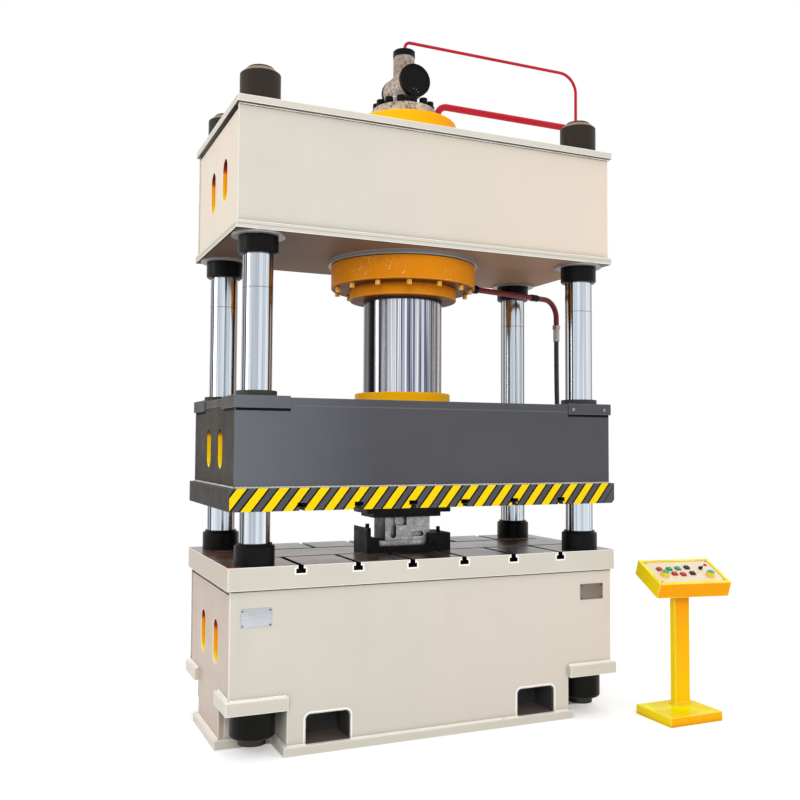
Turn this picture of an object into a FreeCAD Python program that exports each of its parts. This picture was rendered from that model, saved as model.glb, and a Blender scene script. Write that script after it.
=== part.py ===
import FreeCAD
import Part
import math
import os

from FreeCAD import Vector

# Four-column hydraulic press with its operator stand.
# Millimetres. X runs to the right along the front, Y to the back, Z up.
# The origin is on the floor under the middle of the press.

# ---------------------------------------------------------------- sizes
# Fits
BORE_GAP = 0.5
RUNNING_GAP = 0.06
OVERCUT = 1.0

# Welded plate
LONG_PLATE = 16.0
SIDE_PLATE = 30.0
SIDE_INSET = 4.0
RIB_PLATE = 30.0
BACK_PLATE = 20.0

# Columns and their fastenings
COLUMN_X = 945.0
COLUMN_Y = 368.0
COLUMN_R = 76.0
COLUMN_TOP_STEP = 6.0
COLUMN_TOP_END_R = COLUMN_R - COLUMN_TOP_STEP
COLUMN_FOOT_STEP = 8.0
COLUMN_FOOT_END_R = COLUMN_R - COLUMN_FOOT_STEP
COLUMN_FOOT = 52.0
COLUMN_STAND_UP = 11.0
COLUMN_CHAMFER = 5.0
TOP_NUT_LEDGE = 26.0
TOP_NUT_R = COLUMN_R + TOP_NUT_LEDGE
TOP_NUT_HEIGHT = 178.0
TOP_NUT_BEVEL = 27.0
TOP_NUT_BEVEL_HEIGHT = 24.0
FOOT_NUT_LEDGE = 34.0
FOOT_NUT_R = COLUMN_R + FOOT_NUT_LEDGE
FOOT_NUT_HEIGHT = 132.0
FOOT_NUT_CHAMFER = 8.0
UPPER_COLLAR_WALL = 24.0
UPPER_COLLAR_R = COLUMN_R + UPPER_COLLAR_WALL
UPPER_COLLAR_HEIGHT = 89.0
UPPER_COLLAR_CHAMFER = 9.0
LOWER_COLLAR_WALL = 23.0
LOWER_COLLAR_R = COLUMN_R + LOWER_COLLAR_WALL
LOWER_COLLAR_HEIGHT = 94.0
LOWER_COLLAR_CHAMFER = 5.0
LOWER_NECK_WALL = 10.0
LOWER_NECK_R = COLUMN_R + LOWER_NECK_WALL
LOWER_NECK_HEIGHT = 10.0
COLUMN_PAD_LEDGE = 56.0
COLUMN_PAD_R = COLUMN_R + COLUMN_PAD_LEDGE
COLUMN_PAD_HEIGHT = 12.0
BUSH_WALL = 12.0
BUSH_R = COLUMN_R + BUSH_WALL
WIPER_WALL = 25.0
WIPER_R = COLUMN_R + WIPER_WALL
WIPER_HEIGHT = 26.0
WIPER_CHAMFER = 3.0
WIPER_GAP = 0.4

# Bed, built out from the columns
BED_SIDE_GAP = 30.0
BED_LONG_GAP = 6.0
BED_HALF_X = COLUMN_X + COLUMN_R + BED_SIDE_GAP + SIDE_PLATE + SIDE_INSET
BED_HALF_Y = COLUMN_Y + COLUMN_R + BED_LONG_GAP + LONG_PLATE
BASE_PLATE = 44.0
BASE_LEDGE = 20.0
BASE_LONG_LEDGE = 24.0
BASE_HALF_X = BED_HALF_X + BASE_LEDGE
BASE_HALF_Y = BED_HALF_Y + BASE_LONG_LEDGE
NOTCH_SIDE_GAP = 34.0
NOTCH_LONG_GAP = 18.0
NOTCH_X = COLUMN_X - FOOT_NUT_R - NOTCH_SIDE_GAP
NOTCH_Y = COLUMN_Y - FOOT_NUT_R - NOTCH_LONG_GAP
SHELF_LOW = 220.0
SHELF = 63.0
SHELF_SIDE_LEDGE = 19.5
SHELF_LONG_LEDGE = 26.0
SHELF_HALF_X = BED_HALF_X + SHELF_SIDE_LEDGE
SHELF_HALF_Y = BED_HALF_Y + SHELF_LONG_LEDGE
BED_RECESS_HEIGHT = 27.0
RECESS_DEPTH = 12.0
ANCHOR_HOLE_R = 8.5
ANCHOR_HOLE_X = 386.0
ANCHOR_HOLE_EDGE = 13.0
ANCHOR_HOLE_Y = BASE_HALF_Y - ANCHOR_HOLE_EDGE

# Table
TABLE_LOW = 796.0
TABLE = 110.0
TABLE_SIDE_LEDGE = 15.0
TABLE_LONG_LEDGE = 16.0
TABLE_HALF_X = BED_HALF_X + TABLE_SIDE_LEDGE
TABLE_HALF_Y = BED_HALF_Y + TABLE_LONG_LEDGE

# Fork pockets in the long plates of the bed
POCKET_WIDTH = 228.0
POCKET_NOTCH_GAP = 95.0
POCKET_MIDDLE_X = NOTCH_X - POCKET_WIDTH / 2 - POCKET_NOTCH_GAP
POCKET_HEIGHT = 141.0
POCKET_CORNER_R = 26.0
POCKET_DEPTH = 180.0
POCKET_SHEET = 6.0
RIB_POCKET_GAP = 78.0
RIB_X = POCKET_MIDDLE_X - POCKET_WIDTH / 2 - RIB_POCKET_GAP

# T-slots
SLOT_COUNT = 6
SLOT_COLUMN_GAP = 202.5
SLOT_PITCH = 2 * (COLUMN_X - SLOT_COLUMN_GAP) / (SLOT_COUNT - 1)
SLOT_THROAT = 28.0
SLOT_HEAD = 49.0
SLOT_THROAT_DEPTH = 17.0
SLOT_HEAD_DEPTH = 22.0
CROSS_SLOT_FRONT = 140.0
CROSS_SLOT_BACK = 195.0
CROSS_SLOT_END_GAP = 100.0
CROSS_SLOT_HALF_X = TABLE_HALF_X - CROSS_SLOT_END_GAP

# Oval windows in the side plates, each pair by its distances in front of and behind the middle
WINDOW_WIDTH = 114.0
WINDOW_DEPTH = 40.0
WINDOW_BACK_GAP = 20.0
WINDOW_BACK_HALF_Y = COLUMN_Y - BUSH_R - WINDOW_BACK_GAP
BED_WINDOW_FRONT = 149.0
BED_WINDOW_BACK = 147.0
BED_WINDOW_RISE = 460.0
BED_WINDOW_HEIGHT = 221.0
SLIDE_WINDOW_FRONT = 136.0
SLIDE_WINDOW_BACK = 134.0
SLIDE_WINDOW_RISE = 297.5
SLIDE_WINDOW_HEIGHT = 205.0
CROWN_WINDOW_FRONT = 170.0
CROWN_WINDOW_BACK = 104.0
CROWN_WINDOW_RISE = 310.5
CROWN_WINDOW_HEIGHT = 221.0

# Moving slide, in its lowest place
CLOSED_HEIGHT = 261.5
SLIDE_FLANGE = 111.5
SLIDE_WALL = 398.0
SLIDE_TOP_PLATE = 40.0
SLIDE_SIDE_GAP = 7.5
SLIDE_LONG_GAP = 1.0
SLIDE_HALF_X = COLUMN_X + BUSH_R + SLIDE_SIDE_GAP + SIDE_PLATE + SIDE_INSET
SLIDE_HALF_Y = COLUMN_Y + BUSH_R + SLIDE_LONG_GAP + LONG_PLATE
SLIDE_SIDE_LEDGE = 25.0
SLIDE_LONG_LEDGE = 15.0
SLIDE_FLANGE_HALF_X = SLIDE_HALF_X + SLIDE_SIDE_LEDGE
SLIDE_FLANGE_HALF_Y = SLIDE_HALF_Y + SLIDE_LONG_LEDGE
SLIDE_FLANGE_CHAMFER = 18.0
CAP_LONG_X = 280.0
CAP_LONG_Y = 262.0
CAP_DROP = 54.0
CAP_SKIRT = 9.0
CAP_LIP = 7.0

# Crown
DAYLIGHT = 806.5
CROWN_BOTTOM_PLATE = 37.5
CROWN_WALL = 573.5
CROWN_TOP_PLATE = 35.5
CROWN_SIDE_GAP = 21.5
CROWN_LONG_GAP = 12.0
CROWN_HALF_X = COLUMN_X + COLUMN_R + CROWN_SIDE_GAP + SIDE_PLATE + SIDE_INSET
CROWN_HALF_Y = COLUMN_Y + COLUMN_R + CROWN_LONG_GAP + LONG_PLATE
CROWN_BOTTOM_SIDE_LEDGE = 9.0
CROWN_BOTTOM_LONG_LEDGE = 22.0
CROWN_BOTTOM_HALF_X = CROWN_HALF_X + CROWN_BOTTOM_SIDE_LEDGE
CROWN_BOTTOM_HALF_Y = CROWN_HALF_Y + CROWN_BOTTOM_LONG_LEDGE
CROWN_TOP_SIDE_LEDGE = 11.5
CROWN_TOP_LONG_LEDGE = 26.5
CROWN_TOP_HALF_X = CROWN_HALF_X + CROWN_TOP_SIDE_LEDGE
CROWN_TOP_HALF_Y = CROWN_HALF_Y + CROWN_TOP_LONG_LEDGE
CROWN_RECESS_HEIGHT = 20.0

# Cylinder and ram
ROD_R = 223.0
ROD_TO_BORE = 9.0
BARREL_BORE_R = ROD_R + ROD_TO_BORE
BARREL_WALL = 38.0
BARREL_R = BARREL_BORE_R + BARREL_WALL
CYLINDER_FLANGE_R = 410.0
CYLINDER_FLANGE_HEIGHT = 132.0
CYLINDER_CHAMFER = 5.0
CYLINDER_PAD_LEDGE = 15.0
CYLINDER_PAD_R = CYLINDER_FLANGE_R + CYLINDER_PAD_LEDGE
CYLINDER_PAD_HEIGHT = 23.5
GLAND_LEDGE = 34.0
GLAND_R = BARREL_R + GLAND_LEDGE
GLAND_HEIGHT = 66.0
GLAND_SPIGOT = 50.0
GLAND_BOLT_COUNT = 14
GLAND_BOLT_EDGE = 28.0
GLAND_BOLT_CIRCLE_R = CYLINDER_FLANGE_R - GLAND_BOLT_EDGE
GLAND_BOLT_R = 14.0
GLAND_BOLT_HEIGHT = 26.0
GLAND_BOLT_START = 20.0
PISTON_RISE = 37.0
PISTON_HEIGHT = 180.0
ROD_FLANGE_WALL = 47.0
ROD_FLANGE_R = ROD_R + ROD_FLANGE_WALL
ROD_FLANGE_HEIGHT = 59.0
HEAD_LEDGE = 30.0
HEAD_R = BARREL_R + HEAD_LEDGE
HEAD_HEIGHT = 151.0
HEAD_CHAMFER = 8.0

# Prefill valve on the cylinder head
VALVE_FLANGE_R = 186.0
VALVE_FLANGE_HEIGHT = 86.0
VALVE_FLANGE_CHAMFER = 6.0
VALVE_NECK_R = 78.0
VALVE_NECK_FILLET = 16.0
VALVE_ACROSS_R = 90.0
VALVE_ACROSS_RISE = 134.0
VALVE_ACROSS_FRONT = 140.0
VALVE_ACROSS_BACK = 96.0
VALVE_COVER = 18.0
VALVE_COVER_LEDGE = 3.0
VALVE_COVER_R = VALVE_ACROSS_R + VALVE_COVER_LEDGE
VALVE_UPRIGHT_R = 62.0
VALVE_UPRIGHT_RISE = 184.0
VALVE_CAP_LEDGE = 2.0
VALVE_CAP_R = VALVE_UPRIGHT_R + VALVE_CAP_LEDGE
VALVE_CAP_HEIGHT = 38.0
VALVE_CAP_CHAMFER = 4.0
VALVE_SCREW_COUNT = 14
VALVE_SCREW_EDGE = 30.0
VALVE_SCREW_CIRCLE_R = VALVE_FLANGE_R - VALVE_SCREW_EDGE
VALVE_SCREW_R = 23.0
VALVE_SCREW_HEIGHT = 40.0
VALVE_SCREW_CHAMFER = 2.5
VALVE_SCREW_SOCKET_R = 11.0
VALVE_SCREW_SOCKET_DEPTH = 14.0
VALVE_SCREW_START = 8.5

# Pipes
PIPE_WALL = 3.0
PILOT_PIPE_R = 9.0
PILOT_PIPE_FORWARD = 12.0
PILOT_PIPE_RISE = 55.0
PILOT_PIPE_BEND = 34.0
PILOT_PIPE_DROP_BEND = 115.0
PILOT_SEAT = 12.0
PRESSURE_PIPE_R = 20.0
PRESSURE_PIPE_GAP = 46.0
PRESSURE_PIPE_X = VALVE_FLANGE_R + PRESSURE_PIPE_GAP
PRESSURE_PIPE_BACK = 32.0
PRESSURE_PIPE_RISE = 172.0
PRESSURE_PIPE_BEND = 60.0
PRESSURE_SEAT = 40.0
PIPE_DROP_GAP = 90.0
PIPE_DROP_X = CROWN_TOP_HALF_X + PIPE_DROP_GAP
PIPE_END_RISE = 176.5
PIPE_NUT_HEIGHT = 60.0
PIPE_NUT_WALL = 9.0
BRACKET_HIGH_DROP = 210.0
BRACKET_LOW_DROP = 380.0
BRACKET_HEIGHT = 40.0
RETURN_PIPE_R = 17.0
RETURN_PIPE_RISE = 43.0
RETURN_PIPE_ANGLE = 14.0
RETURN_PIPE_BEND = 110.0
RETURN_PIPE_GAP = 50.5
RETURN_PIPE_X = SLIDE_FLANGE_HALF_X + RETURN_PIPE_GAP
RETURN_PIPE_Y = 170.0
RETURN_PIPE_DROP = 157.0
PORT_NUT_R = 25.0
PORT_NUT_LENGTH = 84.0
PORT_SEAT_DEPTH = 12.0
PORT_SEAT_R = CYLINDER_FLANGE_R - PORT_SEAT_DEPTH
MIDDLE_NUT_LENGTH = 56.0
MIDDLE_NUT_R = 21.0
MIDDLE_NUT_PLACE = 0.70

# Hose from the return pipe to the bed
HOSE_R = 15.0
HOSE_ROUTE = ((0.0, 0.18), (0.08, 0.37), (0.57, 0.56), (0.96, 0.745), (1.0, 0.88))
HOSE_BEND_SHARE = 0.45
FERRULE_NUT_R = 27.0
FERRULE_NUT_HEIGHT = 26.0
FERRULE_R = 20.0
FERRULE_LENGTH = 76.0
ELBOW_REACH = 80.0
ELBOW_X = BED_HALF_X + ELBOW_REACH
ELBOW_Y = 20.0
ELBOW_Z = 540.0
ELBOW_R = 24.0
ELBOW_RISE = 44.0
ELBOW_FLANGE_R = 44.0
ELBOW_FLANGE = 16.0

# Die set, by its reach from the middle of the press
DIE_LEFT = 280.0
DIE_RIGHT = 218.0
DIE_FRONT = 180.0
DIE_BACK = 20.0
DIE_SHOE = 48.5
BACKING_PLATE = 24.0
BACKING_LEFT = 240.0
BACKING_RIGHT = 163.0
BACKING_INSET_Y = 14.0
PUNCH_LEFT = 162.0
PUNCH_RIGHT = 104.0
PUNCH_FRONT = 150.0
PUNCH_BACK = 12.0
PUNCH_SLOT_LEFT = 115.0
PUNCH_SLOT_WIDTH = 34.0
PUNCH_SLOT_DEPTH = 26.0
PUNCH_SLOT_FLOOR = 10.0
PUNCH_HOLLOW_WIDTH = 96.0
PUNCH_HOLLOW_HEIGHT = 46.0
PUNCH_HOLLOW_DEPTH = 18.0
PUNCH_EYE_RIGHT = 30.0
PUNCH_EYE_RISE = 30.0
PUNCH_EYE_WIDTH = 72.0
PUNCH_EYE_HEIGHT = 28.0
PUNCH_EYE_DEPTH = 14.0
HOLDER_FLOOR = 34.0
LOWER_PLATE = 28.0
DIE_GAP = 2.0
LEFT_CHEEK_INSIDE = 210.0
LEFT_CHEEK_FRONT_RISE = 45.0
LEFT_CHEEK_BACK_RISE = 90.0
LEFT_CHEEK_BACK_FROM = 60.0
LEFT_WING = 12.0
LEFT_WING_HIGH = 104.0
LEFT_WING_LOW = 92.0
RIGHT_CHEEK_INSIDE = 85.0
RIGHT_CHEEK_RISE = 64.0
STUD_R = 11.0
STUD_INSET = 28.0
STUD_RISE = 26.0
STUD_FORWARD = 80.0

# Operator stand
STAND_SIDE_GAP = 92.0
STAND_BASE_LEFT = BASE_HALF_X + STAND_SIDE_GAP
STAND_FRONT_GAP = 348.0
STAND_BASE_FORWARD = BASE_HALF_Y + STAND_FRONT_GAP
STAND_BASE_WIDTH = 348.0
STAND_BASE_DEPTH = 290.0
STAND_BASE_HEIGHT = 50.0
STAND_POST_FROM_LEFT = 238.0
STAND_POST_FROM_FRONT = 206.0
STAND_POST_X = STAND_BASE_LEFT + STAND_POST_FROM_LEFT
STAND_POST_Y = STAND_POST_FROM_FRONT - STAND_BASE_FORWARD
STAND_POST_WIDTH = 102.0
STAND_POST_DEPTH = 40.0
STAND_FOOT_LEDGE = 10.0
STAND_FOOT_HEIGHT = 16.0
CONSOLE_FROM_LEFT = 231.0
CONSOLE_X = STAND_BASE_LEFT + CONSOLE_FROM_LEFT
CONSOLE_WIDTH = 438.0
CONSOLE_DEPTH = 262.0
CONSOLE_HEIGHT = 87.0
CONSOLE_TILT = 22.5
CONSOLE_TURN = 10.0
CONSOLE_FROM_FRONT = 62.0
CONSOLE_FRONT_Y = CONSOLE_FROM_FRONT - STAND_BASE_FORWARD
CONSOLE_FRONT_Z = 738.0
CONSOLE_WALL = 4.0
CONSOLE_RIM = 20.0
PANEL_RECESS = 3.0
PANEL_SHEET = 3.0
PANEL_LEDGE = 8.0
BUTTON_SIDE = 25.0
BUTTON_RISE = 12.0
BUTTON_DEPTH = 16.0
BUTTON_CHAMFER = 1.5
BUTTON_GAP = 0.5
BUTTON_FLANGE_SIDE = 31.0
BUTTON_FLANGE = 3.0
BUTTON_SEAT = 0.3
PALM_GUARD_R = 24.0
PALM_GUARD_HEIGHT = 26.0
PALM_GUARD_CHAMFER = 2.0
PALM_BUTTON_R = 18.5
PALM_BUTTON_GAP = 0.6
PALM_BUTTON_RISE = 5.0
PALM_BUTTON_BEVEL = 3.5
PALM_CAP = 12.0
PALM_STEM_R = 7.0
PALM_FLANGE_R = 11.0
SWITCH_R = 11.0
SWITCH_HEIGHT = 8.0
SWITCH_STEM_R = 5.0
SWITCH_BAR_LENGTH = 26.0
SWITCH_BAR_WIDTH = 6.0
SWITCH_BAR_HEIGHT = 8.0
LAMP_R = 8.0
LAMP_HEIGHT = 7.0
LAMP_BEVEL = 2.5

# Places on the console, from the middle of its front edge: across, then up the slope
SQUARE_BUTTONS = {
    "red_button_left": (-139.5, 158.5),
    "green_button_left": (-79.0, 158.5),
    "green_button_right": (-24.0, 161.5),
    "black_button_back": (35.5, 168.0),
    "red_button_middle": (-73.5, 106.0),
    "red_button_right": (-24.0, 98.0),
    "black_button_front": (38.0, 105.5),
}
PALM_BUTTONS = {
    "palm_button_left": (-140.0, 95.0),
    "palm_button_right": (131.0, 78.5),
}
SWITCH_PLACE = (115.0, 155.0)
LAMP_PLACE = (167.0, 193.0)

# Heights that follow from the sizes above, from the floor up
SHELF_HIGH = SHELF_LOW + SHELF
TABLE_HIGH = TABLE_LOW + TABLE
SLIDE_LOW = TABLE_HIGH + CLOSED_HEIGHT
SLIDE_WALL_LOW = SLIDE_LOW + SLIDE_FLANGE
SLIDE_WALL_HIGH = SLIDE_WALL_LOW + SLIDE_WALL
SLIDE_TOP = SLIDE_WALL_HIGH + SLIDE_TOP_PLATE
CAP_TOP = SLIDE_TOP + CAP_LIP
CROWN_LOW = SLIDE_TOP + DAYLIGHT
CROWN_WALL_LOW = CROWN_LOW + CROWN_BOTTOM_PLATE
CROWN_WALL_HIGH = CROWN_WALL_LOW + CROWN_WALL
CROWN_TOP = CROWN_WALL_HIGH + CROWN_TOP_PLATE
COLLAR_HIGH = CROWN_LOW - COLUMN_PAD_HEIGHT
COLUMN_END = CROWN_TOP + TOP_NUT_HEIGHT + COLUMN_STAND_UP
CYLINDER_FLANGE_HIGH = CROWN_LOW - CYLINDER_PAD_HEIGHT
CYLINDER_FLANGE_LOW = CYLINDER_FLANGE_HIGH - CYLINDER_FLANGE_HEIGHT
PISTON_LOW = CYLINDER_FLANGE_LOW + GLAND_SPIGOT + PISTON_RISE
PISTON_HIGH = PISTON_LOW + PISTON_HEIGHT
HEAD_TOP = CROWN_TOP + HEAD_HEIGHT
VALVE_FLANGE_TOP = HEAD_TOP + VALVE_FLANGE_HEIGHT
VALVE_ACROSS_Z = VALVE_FLANGE_TOP + VALVE_ACROSS_RISE
VALVE_UPRIGHT_TOP = VALVE_ACROSS_Z + VALVE_UPRIGHT_RISE
VALVE_CAP_TOP = VALVE_UPRIGHT_TOP + VALVE_CAP_HEIGHT
PILOT_PIPE_Z = VALVE_CAP_TOP + PILOT_PIPE_RISE
PRESSURE_PIPE_Z = HEAD_TOP + PRESSURE_PIPE_RISE
PIPE_END_Z = CROWN_LOW + PIPE_END_RISE
RETURN_PIPE_Z = CYLINDER_FLANGE_LOW + RETURN_PIPE_RISE
RETURN_PIPE_END_Z = RETURN_PIPE_Z - RETURN_PIPE_DROP

# ---------------------------------------------------------------- helpers
os.makedirs("parts", exist_ok=True)


def save(name, *solids):
    shape = solids[0] if len(solids) == 1 else Part.makeCompound(list(solids))
    shape.exportStep("parts/" + name + ".step")


def block(x_span, y_span, z_span):
    size = [high - low for low, high in (x_span, y_span, z_span)]
    return Part.makeBox(*size, Vector(x_span[0], y_span[0], z_span[0]))


def post(radius, z_low, z_high, x=0.0, y=0.0):
    return Part.makeCylinder(radius, z_high - z_low, Vector(x, y, z_low))


def rod_along(radius, start, direction, length):
    return Part.makeCylinder(radius, length, start, direction)


def turned(profile, x=0.0, y=0.0):
    """Solid of revolution about a vertical axis, from (radius, z) points."""
    points = [Vector(radius, 0.0, z) for radius, z in profile]
    points.append(points[0])
    solid = Part.Face(Part.makePolygon(points)).revolve(Vector(), Vector(0, 0, 1), 360)
    solid.translate(Vector(x, y, 0.0))
    return solid


def ring(inner, outer, z_low, z_high, low_chamfer=0.0, high_chamfer=0.0):
    """Profile of a ring whose outer edges may be chamfered."""
    profile = [(inner, z_low), (outer - low_chamfer, z_low)]
    if low_chamfer:
        profile.append((outer, z_low + low_chamfer))
    if high_chamfer:
        profile.append((outer, z_high - high_chamfer))
    profile += [(outer - high_chamfer, z_high), (inner, z_high)]
    return profile


def at_columns(make):
    """One solid at each of the four columns."""
    return [make(side_x * COLUMN_X, side_y * COLUMN_Y) for side_x in (-1, 1) for side_y in (-1, 1)]


def corner_block(side_x, side_y, x_span, y_span, z_span):
    """Block in one quarter, from spans measured away from the middle."""
    x_ends = sorted(side_x * value for value in x_span)
    y_ends = sorted(side_y * value for value in y_span)
    return block(x_ends, y_ends, z_span)


def in_corners(x_span, y_span, z_span):
    return [corner_block(side_x, side_y, x_span, y_span, z_span)
            for side_x in (-1, 1) for side_y in (-1, 1)]


def both_sides(shape, normal):
    return [shape, shape.mirror(Vector(), normal)]


def drilled(shape, radius, z_low, z_high):
    """The shape with a vertical hole at each column."""
    return shape.cut(at_columns(lambda x, y: post(radius, z_low - OVERCUT, z_high + OVERCUT, x, y)))


def oval_cutter(x_span, y, z, width, height):
    """Upright oval through a side plate."""
    radius = width / 2
    reach = height / 2 - radius
    length = x_span[1] - x_span[0]
    along_x = Vector(1, 0, 0)
    middle = block(x_span, (y - radius, y + radius), (z - reach, z + reach))
    ends = [rod_along(radius, Vector(x_span[0], y, z + side * reach), along_x, length)
            for side in (-1, 1)]
    return middle.fuse(ends).removeSplitter()


def side_plate_pair(outer_x, half_y, z_span, recess, windows):
    """Two side plates with oval windows and a recess along the top of the outer face."""
    front, back, rise, height = windows
    inner_x = outer_x - SIDE_PLATE
    through = (inner_x - OVERCUT, outer_x + OVERCUT)
    plate = block((inner_x, outer_x), (-half_y, half_y), z_span)
    for y in (-front, back):
        plate = plate.cut(oval_cutter(through, y, rise, WINDOW_WIDTH, height))
    if recess:
        plate = plate.cut(block((outer_x - RECESS_DEPTH, outer_x + OVERCUT), (-half_y, half_y),
                                (z_span[1] - recess, z_span[1])))
    return both_sides(plate, Vector(1, 0, 0))


def rib_pair(half_y, z_span):
    rib = block((RIB_X, RIB_X + RIB_PLATE), (-half_y, half_y), z_span)
    return both_sides(rib, Vector(1, 0, 0))


def back_plate_pair(outer_x, half_y, z_span):
    """Plates a short way behind the windows of the side plates."""
    face_x = outer_x - SIDE_PLATE - WINDOW_DEPTH
    plate = block((face_x - BACK_PLATE, face_x), (-half_y, half_y), z_span)
    return both_sides(plate, Vector(1, 0, 0))


def long_plate_pair(half_x, half_y, z_span):
    plate = block((-half_x, half_x), (half_y - LONG_PLATE, half_y), z_span)
    return both_sides(plate, Vector(0, 1, 0))


def t_slot_cutters(z_open, into, y_span):
    """Cutters for the row of T-slots; into is -1 for a top face and 1 for an underside."""
    throat_z = sorted((z_open, z_open + into * SLOT_THROAT_DEPTH))
    head_z = sorted((z_open + into * SLOT_THROAT_DEPTH,
                     z_open + into * (SLOT_THROAT_DEPTH + SLOT_HEAD_DEPTH)))
    cutters = []
    for index in range(SLOT_COUNT):
        x = (index - (SLOT_COUNT - 1) / 2) * SLOT_PITCH
        throat = block((x - SLOT_THROAT / 2, x + SLOT_THROAT / 2), y_span, throat_z)
        head = block((x - SLOT_HEAD / 2, x + SLOT_HEAD / 2), y_span, head_z)
        cutters += [throat, head]
    return cutters


def cross_slot_cutters(y):
    """Cutters for one T-slot that runs left to right in the table."""
    head_top = TABLE_HIGH - SLOT_THROAT_DEPTH
    cutters = []
    for width, low, high in ((SLOT_THROAT, head_top, TABLE_HIGH),
                             (SLOT_HEAD, head_top - SLOT_HEAD_DEPTH, head_top)):
        cutters.append(block((-CROSS_SLOT_HALF_X, CROSS_SLOT_HALF_X),
                             (y - width / 2, y + width / 2), (low, high)))
        cutters += [post(width / 2, low, high, side * CROSS_SLOT_HALF_X, y) for side in (-1, 1)]
    return cutters


def bent_wire(points, radii):
    """Path of straight runs joined by arcs that touch them."""
    edges = []
    start = points[0]
    for index in range(1, len(points) - 1):
        corner = points[index]
        back = (points[index - 1] - corner).normalize()
        ahead = (points[index + 1] - corner).normalize()
        half_angle = back.getAngle(ahead) / 2
        reach = radii[index - 1] / math.tan(half_angle)
        arc_start = corner + back * reach
        arc_end = corner + ahead * reach
        inward = (back + ahead).normalize()
        middle = corner + inward * (radii[index - 1] / math.sin(half_angle) - radii[index - 1])
        edges.append(Part.makeLine(start, arc_start))
        edges.append(Part.Arc(arc_start, middle, arc_end).toShape())
        start = arc_end
    edges.append(Part.makeLine(start, points[-1]))
    return Part.Wire(edges)


def swept(path, radius):
    direction = path.Edges[0].tangentAt(path.Edges[0].FirstParameter)
    start = path.Vertexes[0].Point
    circle = Part.Wire(Part.makeCircle(radius, start, direction))
    return path.makePipeShell([circle], True, False)


def pipe(points, radii, radius):
    path = bent_wire(points, radii)
    return swept(path, radius).cut(swept(path, radius - PIPE_WALL))


def hexagon(corner_r, start, direction, length):
    """Six-sided prism along a line."""
    corners = [Vector(corner_r * math.cos(math.radians(60 * step)),
                      corner_r * math.sin(math.radians(60 * step)), 0) for step in range(7)]
    prism = Part.Face(Part.makePolygon(corners)).extrude(Vector(0, 0, length))
    prism.Placement = FreeCAD.Placement(start, FreeCAD.Rotation(Vector(0, 0, 1), direction))
    return prism


# ---------------------------------------------------------------- bed
def make_base_plate():
    plate = block((-BASE_HALF_X, BASE_HALF_X), (-BASE_HALF_Y, BASE_HALF_Y), (0, BASE_PLATE))
    notches = in_corners((NOTCH_X + BASE_LEDGE, BASE_HALF_X + OVERCUT),
                         (NOTCH_Y + BASE_LEDGE, BASE_HALF_Y + OVERCUT),
                         (-OVERCUT, BASE_PLATE + OVERCUT))
    hole = post(ANCHOR_HOLE_R, -OVERCUT, BASE_PLATE + OVERCUT, ANCHOR_HOLE_X, -ANCHOR_HOLE_Y)
    return plate.cut(notches).cut(hole)


def pocket_profile(middle_x, grow, y, depth):
    """Prism with the outline of a fork pocket: square feet and rounded shoulders."""
    left = middle_x - POCKET_WIDTH / 2 - grow
    right = middle_x + POCKET_WIDTH / 2 + grow
    top = BASE_PLATE + POCKET_HEIGHT + grow
    bend = POCKET_CORNER_R + grow
    mid = bend * math.sqrt(0.5)
    left_arc = Part.Arc(Vector(left, y, top - bend),
                        Vector(left + bend - mid, y, top - bend + mid),
                        Vector(left + bend, y, top)).toShape()
    right_arc = Part.Arc(Vector(right - bend, y, top),
                         Vector(right - bend + mid, y, top - bend + mid),
                         Vector(right, y, top - bend)).toShape()
    edges = [Part.makeLine(Vector(left, y, BASE_PLATE), Vector(left, y, top - bend)),
             left_arc,
             Part.makeLine(Vector(left + bend, y, top), Vector(right - bend, y, top)),
             right_arc,
             Part.makeLine(Vector(right, y, top - bend), Vector(right, y, BASE_PLATE)),
             Part.makeLine(Vector(right, y, BASE_PLATE), Vector(left, y, BASE_PLATE))]
    return Part.Face(Part.Wire(edges)).extrude(Vector(0, depth, 0))


def make_bed_long_plates():
    inner_y = -(BED_HALF_Y - LONG_PLATE)
    plate = block((-BED_HALF_X, BED_HALF_X), (-BED_HALF_Y, inner_y), (BASE_PLATE, TABLE_LOW))
    for side in (-1, 1):
        feet = sorted((side * NOTCH_X, side * (BED_HALF_X + OVERCUT)))
        plate = plate.cut(block(feet, (-BED_HALF_Y, inner_y), (BASE_PLATE, SHELF_HIGH)))
        plate = plate.cut(pocket_profile(side * POCKET_MIDDLE_X, 0, -BED_HALF_Y, LONG_PLATE))
    return both_sides(plate, Vector(0, 1, 0))


def make_fork_pockets():
    front = -(BED_HALF_Y - LONG_PLATE)
    pockets = []
    for side in (-1, 1):
        middle_x = side * POCKET_MIDDLE_X
        outside = pocket_profile(middle_x, POCKET_SHEET, front, POCKET_DEPTH)
        inside = pocket_profile(middle_x, 0, front, POCKET_DEPTH - POCKET_SHEET)
        pockets += both_sides(outside.cut(inside), Vector(0, 1, 0))
    return pockets


def make_bed_side_plates():
    half_y = BED_HALF_Y - LONG_PLATE
    plates = side_plate_pair(BED_HALF_X - SIDE_INSET, half_y, (BASE_PLATE, TABLE_LOW),
                             BED_RECESS_HEIGHT,
                             (BED_WINDOW_FRONT, BED_WINDOW_BACK, BASE_PLATE + BED_WINDOW_RISE,
                              BED_WINDOW_HEIGHT))
    feet = in_corners((0, BED_HALF_X), (NOTCH_Y, half_y + OVERCUT), (BASE_PLATE, SHELF_HIGH))
    return [plate.cut(feet) for plate in plates]


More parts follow.
